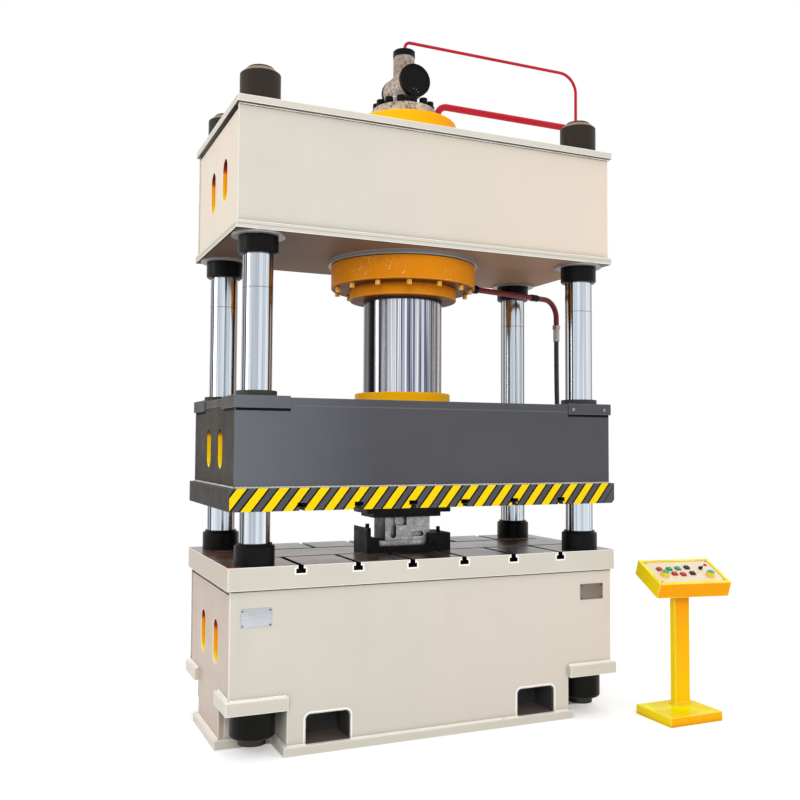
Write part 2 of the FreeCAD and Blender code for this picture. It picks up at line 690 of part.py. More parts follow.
def make_bed_corner_walls():
    """Plates that close the four corner notches and box in the columns."""
    inner_x = BED_HALF_X - SIDE_INSET - SIDE_PLATE
    inner_y = BED_HALF_Y - LONG_PLATE
    across = in_corners((NOTCH_X - RIB_PLATE, NOTCH_X), (NOTCH_Y - RIB_PLATE, inner_y),
                        (BASE_PLATE, TABLE_LOW))
    along = in_corners((NOTCH_X, inner_x), (NOTCH_Y - RIB_PLATE, NOTCH_Y),
                       (BASE_PLATE, TABLE_LOW))
    return across + along


def make_bed_shelves():
    shelves = in_corners((NOTCH_X, SHELF_HALF_X), (NOTCH_Y, SHELF_HALF_Y),
                         (SHELF_LOW, SHELF_HIGH))
    return [drilled(shelf, COLUMN_R + BORE_GAP, SHELF_LOW, SHELF_HIGH) for shelf in shelves]


def make_table():
    table = block((-TABLE_HALF_X, TABLE_HALF_X), (-TABLE_HALF_Y, TABLE_HALF_Y),
                  (TABLE_LOW, TABLE_HIGH))
    cutters = t_slot_cutters(TABLE_HIGH, -1, (-TABLE_HALF_Y - OVERCUT, -CROSS_SLOT_FRONT))
    cutters += t_slot_cutters(TABLE_HIGH, -1, (CROSS_SLOT_BACK, TABLE_HALF_Y + OVERCUT))
    cutters += cross_slot_cutters(-CROSS_SLOT_FRONT)
    cutters += cross_slot_cutters(CROSS_SLOT_BACK)
    table = table.cut(cutters)
    return drilled(table, COLUMN_R + BORE_GAP, TABLE_LOW, TABLE_HIGH).removeSplitter()


save("bed_base_plate", make_base_plate())
save("bed_long_plates", *make_bed_long_plates())
save("bed_side_plates", *make_bed_side_plates())
save("bed_corner_walls", *make_bed_corner_walls())
save("bed_corner_shelves", *make_bed_shelves())
save("fork_pockets", *make_fork_pockets())
save("bed_table", make_table())

# ---------------------------------------------------------------- columns
def make_column(x, y):
    return turned([(0, COLUMN_FOOT),
                   (COLUMN_FOOT_END_R, COLUMN_FOOT),
                   (COLUMN_FOOT_END_R, SHELF_LOW),
                   (COLUMN_R, SHELF_LOW),
                   (COLUMN_R, CROWN_TOP),
                   (COLUMN_TOP_END_R, CROWN_TOP),
                   (COLUMN_TOP_END_R, COLUMN_END - COLUMN_CHAMFER),
                   (COLUMN_TOP_END_R - COLUMN_CHAMFER, COLUMN_END),
                   (0, COLUMN_END)], x, y)


def make_top_nut(x, y):
    """Round nut whose upper edge slopes in towards the column's end."""
    top = CROWN_TOP + TOP_NUT_HEIGHT
    return turned([(COLUMN_TOP_END_R, CROWN_TOP),
                   (TOP_NUT_R, CROWN_TOP),
                   (TOP_NUT_R, top - TOP_NUT_BEVEL_HEIGHT),
                   (TOP_NUT_R - TOP_NUT_BEVEL, top),
                   (COLUMN_TOP_END_R, top)], x, y)


def make_foot_nut(x, y):
    return turned(ring(COLUMN_FOOT_END_R, FOOT_NUT_R, SHELF_LOW - FOOT_NUT_HEIGHT, SHELF_LOW,
                       low_chamfer=FOOT_NUT_CHAMFER), x, y)


def make_upper_collar(x, y):
    return turned(ring(COLUMN_R + BORE_GAP, UPPER_COLLAR_R, COLLAR_HIGH - UPPER_COLLAR_HEIGHT,
                       COLLAR_HIGH, low_chamfer=UPPER_COLLAR_CHAMFER), x, y)


def make_column_pad(x, y):
    return turned(ring(COLUMN_R + BORE_GAP, COLUMN_PAD_R, COLLAR_HIGH, CROWN_LOW), x, y)


def make_lower_collar(x, y):
    bore = COLUMN_R + BORE_GAP
    shoulder = TABLE_HIGH + LOWER_COLLAR_HEIGHT
    return turned([(bore, TABLE_HIGH),
                   (LOWER_COLLAR_R, TABLE_HIGH),
                   (LOWER_COLLAR_R, shoulder - LOWER_COLLAR_CHAMFER),
                   (LOWER_COLLAR_R - LOWER_COLLAR_CHAMFER, shoulder),
                   (LOWER_NECK_R, shoulder),
                   (LOWER_NECK_R, shoulder + LOWER_NECK_HEIGHT),
                   (bore, shoulder + LOWER_NECK_HEIGHT)], x, y)


save("columns", *at_columns(make_column))
save("column_nuts", *at_columns(make_top_nut), *at_columns(make_foot_nut))
save("upper_collars", *at_columns(make_upper_collar))
save("lower_collars", *at_columns(make_lower_collar))

# ---------------------------------------------------------------- crown
def crown_plate(half_x, half_y, z_span):
    plate = block((-half_x, half_x), (-half_y, half_y), z_span)
    barrel_hole = post(BARREL_R + BORE_GAP, z_span[0] - OVERCUT, z_span[1] + OVERCUT)
    return drilled(plate.cut(barrel_hole), COLUMN_R + BORE_GAP, *z_span)


CROWN_WALLS = (CROWN_WALL_LOW, CROWN_WALL_HIGH)
save("crown_bottom_plate", crown_plate(CROWN_BOTTOM_HALF_X, CROWN_BOTTOM_HALF_Y,
                                       (CROWN_LOW, CROWN_WALL_LOW)))
save("crown_top_plate", crown_plate(CROWN_TOP_HALF_X, CROWN_TOP_HALF_Y,
                                    (CROWN_WALL_HIGH, CROWN_TOP)))
save("crown_long_plates", *long_plate_pair(CROWN_HALF_X, CROWN_HALF_Y, CROWN_WALLS))
save("crown_side_plates", *side_plate_pair(CROWN_HALF_X - SIDE_INSET, CROWN_HALF_Y - LONG_PLATE,
                                           CROWN_WALLS, CROWN_RECESS_HEIGHT,
                                           (CROWN_WINDOW_FRONT, CROWN_WINDOW_BACK,
                                            CROWN_LOW + CROWN_WINDOW_RISE, CROWN_WINDOW_HEIGHT)))
BED_WALLS = (BASE_PLATE, TABLE_LOW)
save("frame_inner_ribs", *rib_pair(CROWN_HALF_Y - LONG_PLATE, CROWN_WALLS),
     *rib_pair(BED_HALF_Y - LONG_PLATE, BED_WALLS),
     *back_plate_pair(CROWN_HALF_X - SIDE_INSET, WINDOW_BACK_HALF_Y, CROWN_WALLS),
     *back_plate_pair(BED_HALF_X - SIDE_INSET, NOTCH_Y - RIB_PLATE, BED_WALLS))
CYLINDER_PAD = turned(ring(BARREL_R + BORE_GAP, CYLINDER_PAD_R, CYLINDER_FLANGE_HIGH, CROWN_LOW))
save("crown_pads", CYLINDER_PAD, *at_columns(make_column_pad))

# ---------------------------------------------------------------- cylinder
RETURN_DIRECTION = Vector(math.cos(math.radians(RETURN_PIPE_ANGLE)),
                          math.sin(math.radians(RETURN_PIPE_ANGLE)), 0)
RETURN_CORNER = Vector(RETURN_PIPE_X, RETURN_PIPE_Y, RETURN_PIPE_Z)
# Where the line of the pipe meets the seat in the flange
LINE_OFFSET = RETURN_CORNER.dot(Vector(-RETURN_DIRECTION.y, RETURN_DIRECTION.x, 0))
LINE_REACH = math.sqrt(PORT_SEAT_R ** 2 - LINE_OFFSET ** 2)
PORT_START = (RETURN_DIRECTION * LINE_REACH
              + Vector(-RETURN_DIRECTION.y, RETURN_DIRECTION.x, 0) * LINE_OFFSET
              + Vector(0, 0, RETURN_PIPE_Z))


def make_barrel():
    profile = [(BARREL_BORE_R, CYLINDER_FLANGE_LOW),
               (CYLINDER_FLANGE_R - CYLINDER_CHAMFER, CYLINDER_FLANGE_LOW),
               (CYLINDER_FLANGE_R, CYLINDER_FLANGE_LOW + CYLINDER_CHAMFER),
               (CYLINDER_FLANGE_R, CYLINDER_FLANGE_HIGH - CYLINDER_CHAMFER),
               (CYLINDER_FLANGE_R - CYLINDER_CHAMFER, CYLINDER_FLANGE_HIGH),
               (BARREL_R, CYLINDER_FLANGE_HIGH),
               (BARREL_R, CROWN_TOP),
               (BARREL_BORE_R, CROWN_TOP)]
    seat = rod_along(PORT_NUT_R + BORE_GAP, PORT_START, RETURN_DIRECTION, PORT_NUT_LENGTH)
    return turned(profile).cut(seat)


def make_gland():
    low = CYLINDER_FLANGE_LOW - GLAND_HEIGHT
    bore = ROD_R + RUNNING_GAP
    return turned([(bore, low),
                   (GLAND_R - CYLINDER_CHAMFER, low),
                   (GLAND_R, low + CYLINDER_CHAMFER),
                   (GLAND_R, CYLINDER_FLANGE_LOW),
                   (BARREL_BORE_R - BORE_GAP, CYLINDER_FLANGE_LOW),
                   (BARREL_BORE_R - BORE_GAP, CYLINDER_FLANGE_LOW + GLAND_SPIGOT),
                   (bore, CYLINDER_FLANGE_LOW + GLAND_SPIGOT)])


def on_circle(count, radius, start, make):
    places = [math.radians(start + 360.0 * index / count) for index in range(count)]
    return [make(radius * math.cos(angle), radius * math.sin(angle)) for angle in places]


def make_gland_bolt(x, y):
    low = Vector(x, y, CYLINDER_FLANGE_LOW - GLAND_BOLT_HEIGHT)
    return hexagon(GLAND_BOLT_R, low, Vector(0, 0, 1), GLAND_BOLT_HEIGHT)


def make_head():
    head = turned(ring(0, HEAD_R, CROWN_TOP, HEAD_TOP, high_chamfer=HEAD_CHAMFER))
    return head.cut(post(PRESSURE_PIPE_R + BORE_GAP, HEAD_TOP - PRESSURE_SEAT, HEAD_TOP + OVERCUT,
                         PRESSURE_PIPE_X, PRESSURE_PIPE_BACK))


save("cylinder_barrel", make_barrel())
save("cylinder_gland", make_gland())
save("gland_bolts", *on_circle(GLAND_BOLT_COUNT, GLAND_BOLT_CIRCLE_R, GLAND_BOLT_START,
                               make_gland_bolt))
save("cylinder_head", make_head())

# ---------------------------------------------------------------- prefill valve
PILOT_PIPE_Y = -PILOT_PIPE_FORWARD


def make_valve_body():
    base = turned([(0, HEAD_TOP),
                   (VALVE_FLANGE_R - VALVE_FLANGE_CHAMFER, HEAD_TOP),
                   (VALVE_FLANGE_R, HEAD_TOP + VALVE_FLANGE_CHAMFER),
                   (VALVE_FLANGE_R, VALVE_FLANGE_TOP - VALVE_FLANGE_CHAMFER),
                   (VALVE_FLANGE_R - VALVE_FLANGE_CHAMFER, VALVE_FLANGE_TOP),
                   (VALVE_NECK_R + VALVE_NECK_FILLET, VALVE_FLANGE_TOP),
                   (VALVE_NECK_R, VALVE_FLANGE_TOP + VALVE_NECK_FILLET),
                   (VALVE_NECK_R, VALVE_ACROSS_Z),
                   (0, VALVE_ACROSS_Z)])
    across = rod_along(VALVE_ACROSS_R, Vector(0, -VALVE_ACROSS_FRONT, VALVE_ACROSS_Z),
                       Vector(0, 1, 0), VALVE_ACROSS_FRONT + VALVE_ACROSS_BACK)
    upright = post(VALVE_UPRIGHT_R, VALVE_ACROSS_Z, VALVE_UPRIGHT_TOP)
    return base.fuse([across, upright]).removeSplitter()


def make_end_cover(y, direction):
    return rod_along(VALVE_COVER_R, Vector(0, y, VALVE_ACROSS_Z), Vector(0, direction, 0),
                     VALVE_COVER)


def make_valve_screw(x, y):
    top = VALVE_FLANGE_TOP + VALVE_SCREW_HEIGHT
    screw = turned(ring(0, VALVE_SCREW_R, VALVE_FLANGE_TOP, top,
                        high_chamfer=VALVE_SCREW_CHAMFER), x, y)
    socket = hexagon(VALVE_SCREW_SOCKET_R, Vector(x, y, top - VALVE_SCREW_SOCKET_DEPTH),
                     Vector(0, 0, 1), VALVE_SCREW_SOCKET_DEPTH + OVERCUT)
    return screw.cut(socket)


def make_valve_cap():
    cap = turned(ring(0, VALVE_CAP_R, VALVE_UPRIGHT_TOP, VALVE_CAP_TOP,
                      high_chamfer=VALVE_CAP_CHAMFER))
    return cap.cut(post(PILOT_PIPE_R + BORE_GAP, VALVE_CAP_TOP - PILOT_SEAT,
                        VALVE_CAP_TOP + OVERCUT, 0, PILOT_PIPE_Y))


save("valve_body", make_valve_body())
save("valve_covers", make_end_cover(-VALVE_ACROSS_FRONT, -1), make_end_cover(VALVE_ACROSS_BACK, 1),
     make_valve_cap())
save("valve_screws", *on_circle(VALVE_SCREW_COUNT, VALVE_SCREW_CIRCLE_R, VALVE_SCREW_START,
                                make_valve_screw))

# ---------------------------------------------------------------- pipes
PILOT_PIPE = pipe([Vector(0, PILOT_PIPE_Y, VALVE_CAP_TOP - PILOT_SEAT),
                   Vector(0, PILOT_PIPE_Y, PILOT_PIPE_Z),
                   Vector(PIPE_DROP_X, PILOT_PIPE_Y, PILOT_PIPE_Z),
                   Vector(PIPE_DROP_X, PILOT_PIPE_Y, PIPE_END_Z)],
                  [PILOT_PIPE_BEND, PILOT_PIPE_DROP_BEND], PILOT_PIPE_R)
PRESSURE_PIPE = pipe([Vector(PRESSURE_PIPE_X, PRESSURE_PIPE_BACK, HEAD_TOP - PRESSURE_SEAT),
                      Vector(PRESSURE_PIPE_X, PRESSURE_PIPE_BACK, PRESSURE_PIPE_Z),
                      Vector(PIPE_DROP_X, PRESSURE_PIPE_BACK, PRESSURE_PIPE_Z),
                      Vector(PIPE_DROP_X, PRESSURE_PIPE_BACK, PIPE_END_Z)],
                     [PRESSURE_PIPE_BEND, PRESSURE_PIPE_BEND], PRESSURE_PIPE_R)
RETURN_END = Vector(RETURN_PIPE_X, RETURN_PIPE_Y, RETURN_PIPE_END_Z)
RETURN_PIPE = pipe([PORT_START, RETURN_CORNER, RETURN_END], [RETURN_PIPE_BEND], RETURN_PIPE_R)


def make_bracket(z_low):
    """Bar welded to the right of the crown, with a bore for each upright pipe."""
    side = CROWN_HALF_X - SIDE_INSET
    reach = PIPE_DROP_X + PRESSURE_PIPE_R + PIPE_NUT_WALL
    bar = block((side, reach), (PILOT_PIPE_Y - PILOT_PIPE_R - PIPE_NUT_WALL,
                                PRESSURE_PIPE_BACK + PRESSURE_PIPE_R + PIPE_NUT_WALL),
                (z_low, z_low + BRACKET_HEIGHT))
    through = (z_low - OVERCUT, z_low + BRACKET_HEIGHT + OVERCUT)
    bores = [post(radius + BORE_GAP, *through, PIPE_DROP_X, y)
             for radius, y in ((PILOT_PIPE_R, PILOT_PIPE_Y), (PRESSURE_PIPE_R, PRESSURE_PIPE_BACK))]
    return bar.cut(bores)


def make_end_nut(radius, y):
    """Closed nut on the lower end of an upright pipe."""
    nut = hexagon(radius + PIPE_NUT_WALL, Vector(PIPE_DROP_X, y, PIPE_END_Z - PIPE_NUT_HEIGHT / 2),
                  Vector(0, 0, 1), PIPE_NUT_HEIGHT)
    return nut.cut(post(radius + BORE_GAP, PIPE_END_Z, PIPE_END_Z + PIPE_NUT_HEIGHT,
                        PIPE_DROP_X, y))


MIDDLE_NUT_START = PORT_START + (RETURN_CORNER - PORT_START) * MIDDLE_NUT_PLACE
PORT_NUT = rod_along(PORT_NUT_R, PORT_START, RETURN_DIRECTION, PORT_NUT_LENGTH)
MIDDLE_NUT = rod_along(MIDDLE_NUT_R, MIDDLE_NUT_START, RETURN_DIRECTION, MIDDLE_NUT_LENGTH)
PIPE_BORE = rod_along(RETURN_PIPE_R, PORT_START, RETURN_DIRECTION,
                      (RETURN_CORNER - PORT_START).Length)


def make_hose_elbow():
    """Angle fitting on the right side of the bed, with its mouth up."""
    side = BED_HALF_X - SIDE_INSET
    along_x = Vector(1, 0, 0)
    flange = rod_along(ELBOW_FLANGE_R, Vector(side, ELBOW_Y, ELBOW_Z), along_x, ELBOW_FLANGE)
    arm = rod_along(ELBOW_R, Vector(side, ELBOW_Y, ELBOW_Z), along_x, ELBOW_X - side)
    knuckle = Part.makeSphere(ELBOW_R, Vector(ELBOW_X, ELBOW_Y, ELBOW_Z))
    mouth = post(ELBOW_R, ELBOW_Z, ELBOW_Z + ELBOW_RISE, ELBOW_X, ELBOW_Y)
    return flange.fuse([arm, knuckle, mouth]).removeSplitter()


save("pilot_pipe", PILOT_PIPE)
save("pressure_pipe", PRESSURE_PIPE)
save("return_pipe", RETURN_PIPE)
save("pipe_fittings", PORT_NUT.cut(PIPE_BORE), MIDDLE_NUT.cut(PIPE_BORE),
     make_end_nut(PILOT_PIPE_R, PILOT_PIPE_Y), make_end_nut(PRESSURE_PIPE_R, PRESSURE_PIPE_BACK),
     make_hose_elbow())
save("pipe_brackets", make_bracket(CROWN_TOP - BRACKET_LOW_DROP),
     make_bracket(CROWN_TOP - BRACKET_HIGH_DROP))

# ---------------------------------------------------------------- hose
FERRULE_REACH = FERRULE_NUT_HEIGHT + FERRULE_LENGTH
HOSE_TOP = RETURN_PIPE_END_Z - FERRULE_REACH
ELBOW_TOP = ELBOW_Z + ELBOW_RISE
HOSE_FOOT = ELBOW_TOP + FERRULE_REACH
HOSE_START = Vector(RETURN_PIPE_X, RETURN_PIPE_Y, HOSE_TOP)
HOSE_END = Vector(ELBOW_X, ELBOW_Y, HOSE_FOOT)


def hose_point(across, down):
    """Point of the route, from its shares of the way across and of the way down."""
    way = HOSE_END - HOSE_START
    return HOSE_START + Vector(way.x * across, way.y * across, way.z * down)


HOSE_POINTS = [HOSE_START] + [hose_point(*shares) for shares in HOSE_ROUTE] + [HOSE_END]


def make_ferrule(x, y, z_end, toward):
    """Crimped end of the hose: a hexagon on the fitting and a sleeve on the hose."""
    up = Vector(0, 0, toward)
    start = Vector(x, y, z_end)
    nut = hexagon(FERRULE_NUT_R, start, up, FERRULE_NUT_HEIGHT)
    sleeve = rod_along(FERRULE_R, start, up, FERRULE_REACH)
    return nut.fuse(sleeve)


def cord_radii(points):
    radii = []
    for index in range(1, len(points) - 1):
        before = points[index] - points[index - 1]
        after = points[index + 1] - points[index]
        half_turn = before.getAngle(after) / 2
        radii.append(HOSE_BEND_SHARE * min(before.Length, after.Length) / math.tan(half_turn))
    return radii


HOSE_RADII = cord_radii(HOSE_POINTS)
HOSE_PATH = bent_wire(HOSE_POINTS, HOSE_RADII)
print("hose bend radii", [round(radius) for radius in HOSE_RADII])
print("hose length", round(HOSE_PATH.Length))
save("return_hose", swept(HOSE_PATH, HOSE_R))
save("hose_ferrules", make_ferrule(RETURN_PIPE_X, RETURN_PIPE_Y, RETURN_PIPE_END_Z, -1),
     make_ferrule(ELBOW_X, ELBOW_Y, ELBOW_TOP, 1))

# ---------------------------------------------------------------- slide
SLIDE_WALLS = (SLIDE_WALL_LOW, SLIDE_WALL_HIGH)
BUSH_HOLE_R = BUSH_R + BORE_GAP


def make_slide_flange():
    plate = block((-SLIDE_FLANGE_HALF_X, SLIDE_FLANGE_HALF_X),
                  (-SLIDE_FLANGE_HALF_Y, SLIDE_FLANGE_HALF_Y), (SLIDE_LOW, SLIDE_WALL_LOW))
    end = SLIDE_FLANGE_HALF_X
    corner = Part.makePolygon([Vector(end - SLIDE_FLANGE_CHAMFER, 0, SLIDE_LOW),
                               Vector(end, 0, SLIDE_LOW + SLIDE_FLANGE_CHAMFER),
                               Vector(end, 0, SLIDE_LOW),
                               Vector(end - SLIDE_FLANGE_CHAMFER, 0, SLIDE_LOW)])
    bevel = Part.Face(corner).extrude(Vector(0, 2 * SLIDE_FLANGE_HALF_Y, 0))
    bevel.translate(Vector(0, -SLIDE_FLANGE_HALF_Y, 0))
    slots = t_slot_cutters(SLIDE_LOW, 1, (-SLIDE_FLANGE_HALF_Y - OVERCUT,
                                          SLIDE_FLANGE_HALF_Y + OVERCUT))
    return drilled(plate.cut(bevel).cut(slots), BUSH_HOLE_R, SLIDE_LOW, SLIDE_WALL_LOW)


def make_slide_top():
    plate = block((-SLIDE_HALF_X, SLIDE_HALF_X), (-SLIDE_HALF_Y, SLIDE_HALF_Y),
                  (SLIDE_WALL_HIGH, SLIDE_TOP))
    return drilled(plate, BUSH_HOLE_R, SLIDE_WALL_HIGH, SLIDE_TOP)


def make_corner_caps():
    """Covers that wrap the upper corners of the slide, a lip on top and a skirt outside."""
    outer_x = SLIDE_HALF_X + CAP_SKIRT
    outer_y = SLIDE_HALF_Y + CAP_SKIRT
    cap_low = SLIDE_TOP - CAP_DROP
    body = block((-SLIDE_HALF_X, SLIDE_HALF_X), (-SLIDE_HALF_Y, SLIDE_HALF_Y),
                 (cap_low - OVERCUT, SLIDE_TOP))
    caps = in_corners((outer_x - CAP_LONG_X, outer_x), (outer_y - CAP_LONG_Y, outer_y),
                      (cap_low, CAP_TOP))
    return [drilled(cap.cut(body), BUSH_HOLE_R, SLIDE_TOP, CAP_TOP) for cap in caps]


def make_guide_bush(x, y):
    return turned(ring(COLUMN_R + RUNNING_GAP, BUSH_R, SLIDE_LOW, CAP_TOP), x, y)


def make_wiper(x, y):
    return turned(ring(COLUMN_R + WIPER_GAP, WIPER_R, CAP_TOP, CAP_TOP + WIPER_HEIGHT,
                       high_chamfer=WIPER_CHAMFER), x, y)


save("slide_flange", make_slide_flange())
save("slide_long_plates", *long_plate_pair(SLIDE_HALF_X, SLIDE_HALF_Y, SLIDE_WALLS))
save("slide_side_plates", *side_plate_pair(SLIDE_HALF_X - SIDE_INSET, SLIDE_HALF_Y - LONG_PLATE,
                                           SLIDE_WALLS, 0,
                                           (SLIDE_WINDOW_FRONT, SLIDE_WINDOW_BACK,
                                            SLIDE_LOW + SLIDE_WINDOW_RISE, SLIDE_WINDOW_HEIGHT)))
save("slide_inner_ribs", *rib_pair(SLIDE_HALF_Y - LONG_PLATE, SLIDE_WALLS),
     *back_plate_pair(SLIDE_HALF_X - SIDE_INSET, WINDOW_BACK_HALF_Y, SLIDE_WALLS))
save("slide_top_plate", make_slide_top())
save("slide_corner_caps", *make_corner_caps())
save("guide_bushes", *at_columns(make_guide_bush))
save("wiper_rings", *at_columns(make_wiper))

# ---------------------------------------------------------------- ram
PISTON_R = BARREL_BORE_R - RUNNING_GAP
save("ram_rod", turned([(0, SLIDE_TOP), (ROD_R, SLIDE_TOP), (ROD_R, PISTON_LOW),
                        (PISTON_R, PISTON_LOW), (PISTON_R, PISTON_HIGH), (0, PISTON_HIGH)]))
save("rod_flange", turned(ring(ROD_R, ROD_FLANGE_R, SLIDE_TOP, SLIDE_TOP + ROD_FLANGE_HEIGHT,
                               high_chamfer=CYLINDER_CHAMFER)))

# ---------------------------------------------------------------- die set
SHOE_LOW = SLIDE_LOW - DIE_SHOE
BACKING_LOW = SHOE_LOW - BACKING_PLATE
HOLDER_TOP = TABLE_HIGH + HOLDER_FLOOR
LOWER_PLATE_TOP = HOLDER_TOP + LOWER_PLATE
PUNCH_LOW = LOWER_PLATE_TOP + DIE_GAP
LEFT_CHEEK_TOP = HOLDER_TOP + LEFT_CHEEK_FRONT_RISE
RIGHT_CHEEK_TOP = HOLDER_TOP + RIGHT_CHEEK_RISE
DIE_Y = (-DIE_FRONT, DIE_BACK)


def make_left_wing():
    """Outer wall of the left cheek, its top sloping down to the right."""
    left = -DIE_LEFT
    right = left + LEFT_WING
    outline = [Vector(left, -DIE_FRONT, HOLDER_TOP), Vector(right, -DIE_FRONT, HOLDER_TOP),
               Vector(right, -DIE_FRONT, HOLDER_TOP + LEFT_WING_LOW),
               Vector(left, -DIE_FRONT, HOLDER_TOP + LEFT_WING_HIGH),
               Vector(left, -DIE_FRONT, HOLDER_TOP)]
    return Part.Face(Part.makePolygon(outline)).extrude(Vector(0, DIE_FRONT + DIE_BACK, 0))


def make_die_holder():
    holder = block((-DIE_LEFT, DIE_RIGHT), DIE_Y, (TABLE_HIGH, HOLDER_TOP))
    left_x = (-DIE_LEFT, -LEFT_CHEEK_INSIDE)
    left_back_top = HOLDER_TOP + LEFT_CHEEK_BACK_RISE
    cheeks = [block(left_x, DIE_Y, (HOLDER_TOP, LEFT_CHEEK_TOP)),
              block(left_x, (-LEFT_CHEEK_BACK_FROM, DIE_BACK), (LEFT_CHEEK_TOP, left_back_top)),
              block((RIGHT_CHEEK_INSIDE, DIE_RIGHT), DIE_Y, (HOLDER_TOP, RIGHT_CHEEK_TOP)),
              make_left_wing()]
    left_stud_top = HOLDER_TOP + LEFT_WING_HIGH + STUD_RISE / 2
    studs = [post(STUD_R, HOLDER_TOP, left_stud_top, STUD_INSET + LEFT_WING - DIE_LEFT,
                  -STUD_FORWARD),
             post(STUD_R, HOLDER_TOP, RIGHT_CHEEK_TOP + STUD_RISE, DIE_RIGHT - STUD_INSET,
                  -STUD_FORWARD)]
    punch_room = block((-PUNCH_LEFT - DIE_GAP, PUNCH_RIGHT + DIE_GAP),
                       (-PUNCH_FRONT - DIE_GAP, PUNCH_BACK + DIE_GAP),
                       (HOLDER_TOP, left_back_top + OVERCUT))
    return holder.fuse([cheek.cut(punch_room) for cheek in cheeks]).fuse(studs).removeSplitter()


def make_punch():
    """Upper block with an upright slot, a hollow above it and a shallow eye in its front."""
    front = -PUNCH_FRONT
    along_y = Vector(0, 1, 0)
    punch = block((-PUNCH_LEFT, PUNCH_RIGHT), (front, PUNCH_BACK), (PUNCH_LOW, BACKING_LOW))
    slot_r = PUNCH_SLOT_WIDTH / 2
    slot_x = -PUNCH_SLOT_LEFT
    slot_low = PUNCH_LOW + PUNCH_SLOT_FLOOR + slot_r
    slot = block((slot_x - slot_r, slot_x + slot_r), (front, front + PUNCH_SLOT_DEPTH),
                 (slot_low, BACKING_LOW))
    slot_end = rod_along(slot_r, Vector(slot_x, front, slot_low), along_y, PUNCH_SLOT_DEPTH)
    hollow = block((slot_x - slot_r, slot_x - slot_r + PUNCH_HOLLOW_WIDTH),
                   (front, front + PUNCH_HOLLOW_DEPTH),
                   (BACKING_LOW - PUNCH_HOLLOW_HEIGHT, BACKING_LOW))
    eye_r = PUNCH_EYE_HEIGHT / 2
    eye_z = PUNCH_LOW + PUNCH_EYE_RISE
    eye_reach = PUNCH_EYE_WIDTH / 2 - eye_r
    eye = [block((PUNCH_EYE_RIGHT - eye_reach, PUNCH_EYE_RIGHT + eye_reach),
                 (front, front + PUNCH_EYE_DEPTH), (eye_z - eye_r, eye_z + eye_r))]
    eye += [rod_along(eye_r, Vector(PUNCH_EYE_RIGHT + side * eye_reach, front, eye_z), along_y,
                      PUNCH_EYE_DEPTH) for side in (-1, 1)]
    return punch.cut([slot, slot_end, hollow] + eye)


SHOE = block((-DIE_LEFT, DIE_RIGHT), DIE_Y, (SHOE_LOW, SLIDE_LOW))
BACKING = block((-BACKING_LEFT, BACKING_RIGHT),
                (-DIE_FRONT + BACKING_INSET_Y, DIE_BACK - BACKING_INSET_Y / 2),
                (BACKING_LOW, SHOE_LOW))
save("upper_die_plates", SHOE, BACKING)
save("upper_die_punch", make_punch())
save("lower_die_holder", make_die_holder())
save("lower_die_plate", block((-LEFT_CHEEK_INSIDE + DIE_GAP, RIGHT_CHEEK_INSIDE - DIE_GAP),
                              (-PUNCH_FRONT, PUNCH_BACK), (HOLDER_TOP, LOWER_PLATE_TOP)))

# ---------------------------------------------------------------- operator stand
# The console leans back and is turned a little on its post
CONSOLE_LEAN = FreeCAD.Rotation(Vector(1, 0, 0), CONSOLE_TILT)
CONSOLE_PLACE = FreeCAD.Placement(Vector(CONSOLE_X, CONSOLE_FRONT_Y, CONSOLE_FRONT_Z),
                                  FreeCAD.Rotation(Vector(0, 0, 1), -CONSOLE_TURN) * CONSOLE_LEAN)
PANEL_TOP = -PANEL_RECESS
PANEL_LOW = PANEL_TOP - PANEL_SHEET


def on_console(shape):
    """Moves a shape from the console's own frame, whose Z is 0 on the rim, to its place."""
    placed = shape.copy()
    placed.Placement = CONSOLE_PLACE.multiply(placed.Placement)
    return placed


def console_block(inset, z_span):
    half = CONSOLE_WIDTH / 2 - inset
    return block((-half, half), (inset, CONSOLE_DEPTH - inset), z_span)


def make_console():
    shell = console_block(0, (-CONSOLE_HEIGHT, 0))
    room = console_block(CONSOLE_WALL, (-CONSOLE_HEIGHT + CONSOLE_WALL, PANEL_LOW - CONSOLE_WALL))
    mouth = console_block(CONSOLE_RIM + PANEL_LEDGE, (PANEL_LOW - CONSOLE_WALL, PANEL_LOW))
    seat = console_block(CONSOLE_RIM, (PANEL_LOW, OVERCUT))
    return on_console(shell.cut(room).cut(mouth).cut(seat))


def make_panel():
    panel = console_block(CONSOLE_RIM + BORE_GAP, (PANEL_LOW, PANEL_TOP))
    half = BUTTON_SIDE / 2 + BUTTON_GAP
    depth = (PANEL_LOW - OVERCUT, PANEL_TOP + OVERCUT)
    holes = [block((u - half, u + half), (v - half, v + half), depth)
             for u, v in SQUARE_BUTTONS.values()]
    holes += [post(PALM_STEM_R + BUTTON_GAP, *depth, u, v) for u, v in PALM_BUTTONS.values()]
    holes.append(post(SWITCH_STEM_R + RUNNING_GAP, *depth, *SWITCH_PLACE))
    return on_console(panel.cut(holes))


def make_square_button(u, v):
    half = BUTTON_SIDE / 2
    flange = BUTTON_FLANGE_SIDE / 2
    flange_top = PANEL_LOW - BUTTON_SEAT
    cap = block((u - half, u + half), (v - half, v + half),
                (PANEL_TOP - BUTTON_DEPTH, PANEL_TOP + BUTTON_RISE))
    top_edges = [edge for edge in cap.Edges if edge.BoundBox.ZMin > PANEL_TOP]
    cap = cap.makeChamfer(BUTTON_CHAMFER, top_edges)
    collar = block((u - flange, u + flange), (v - flange, v + flange),
                   (flange_top - BUTTON_FLANGE, flange_top))
    return on_console(cap.fuse(collar))


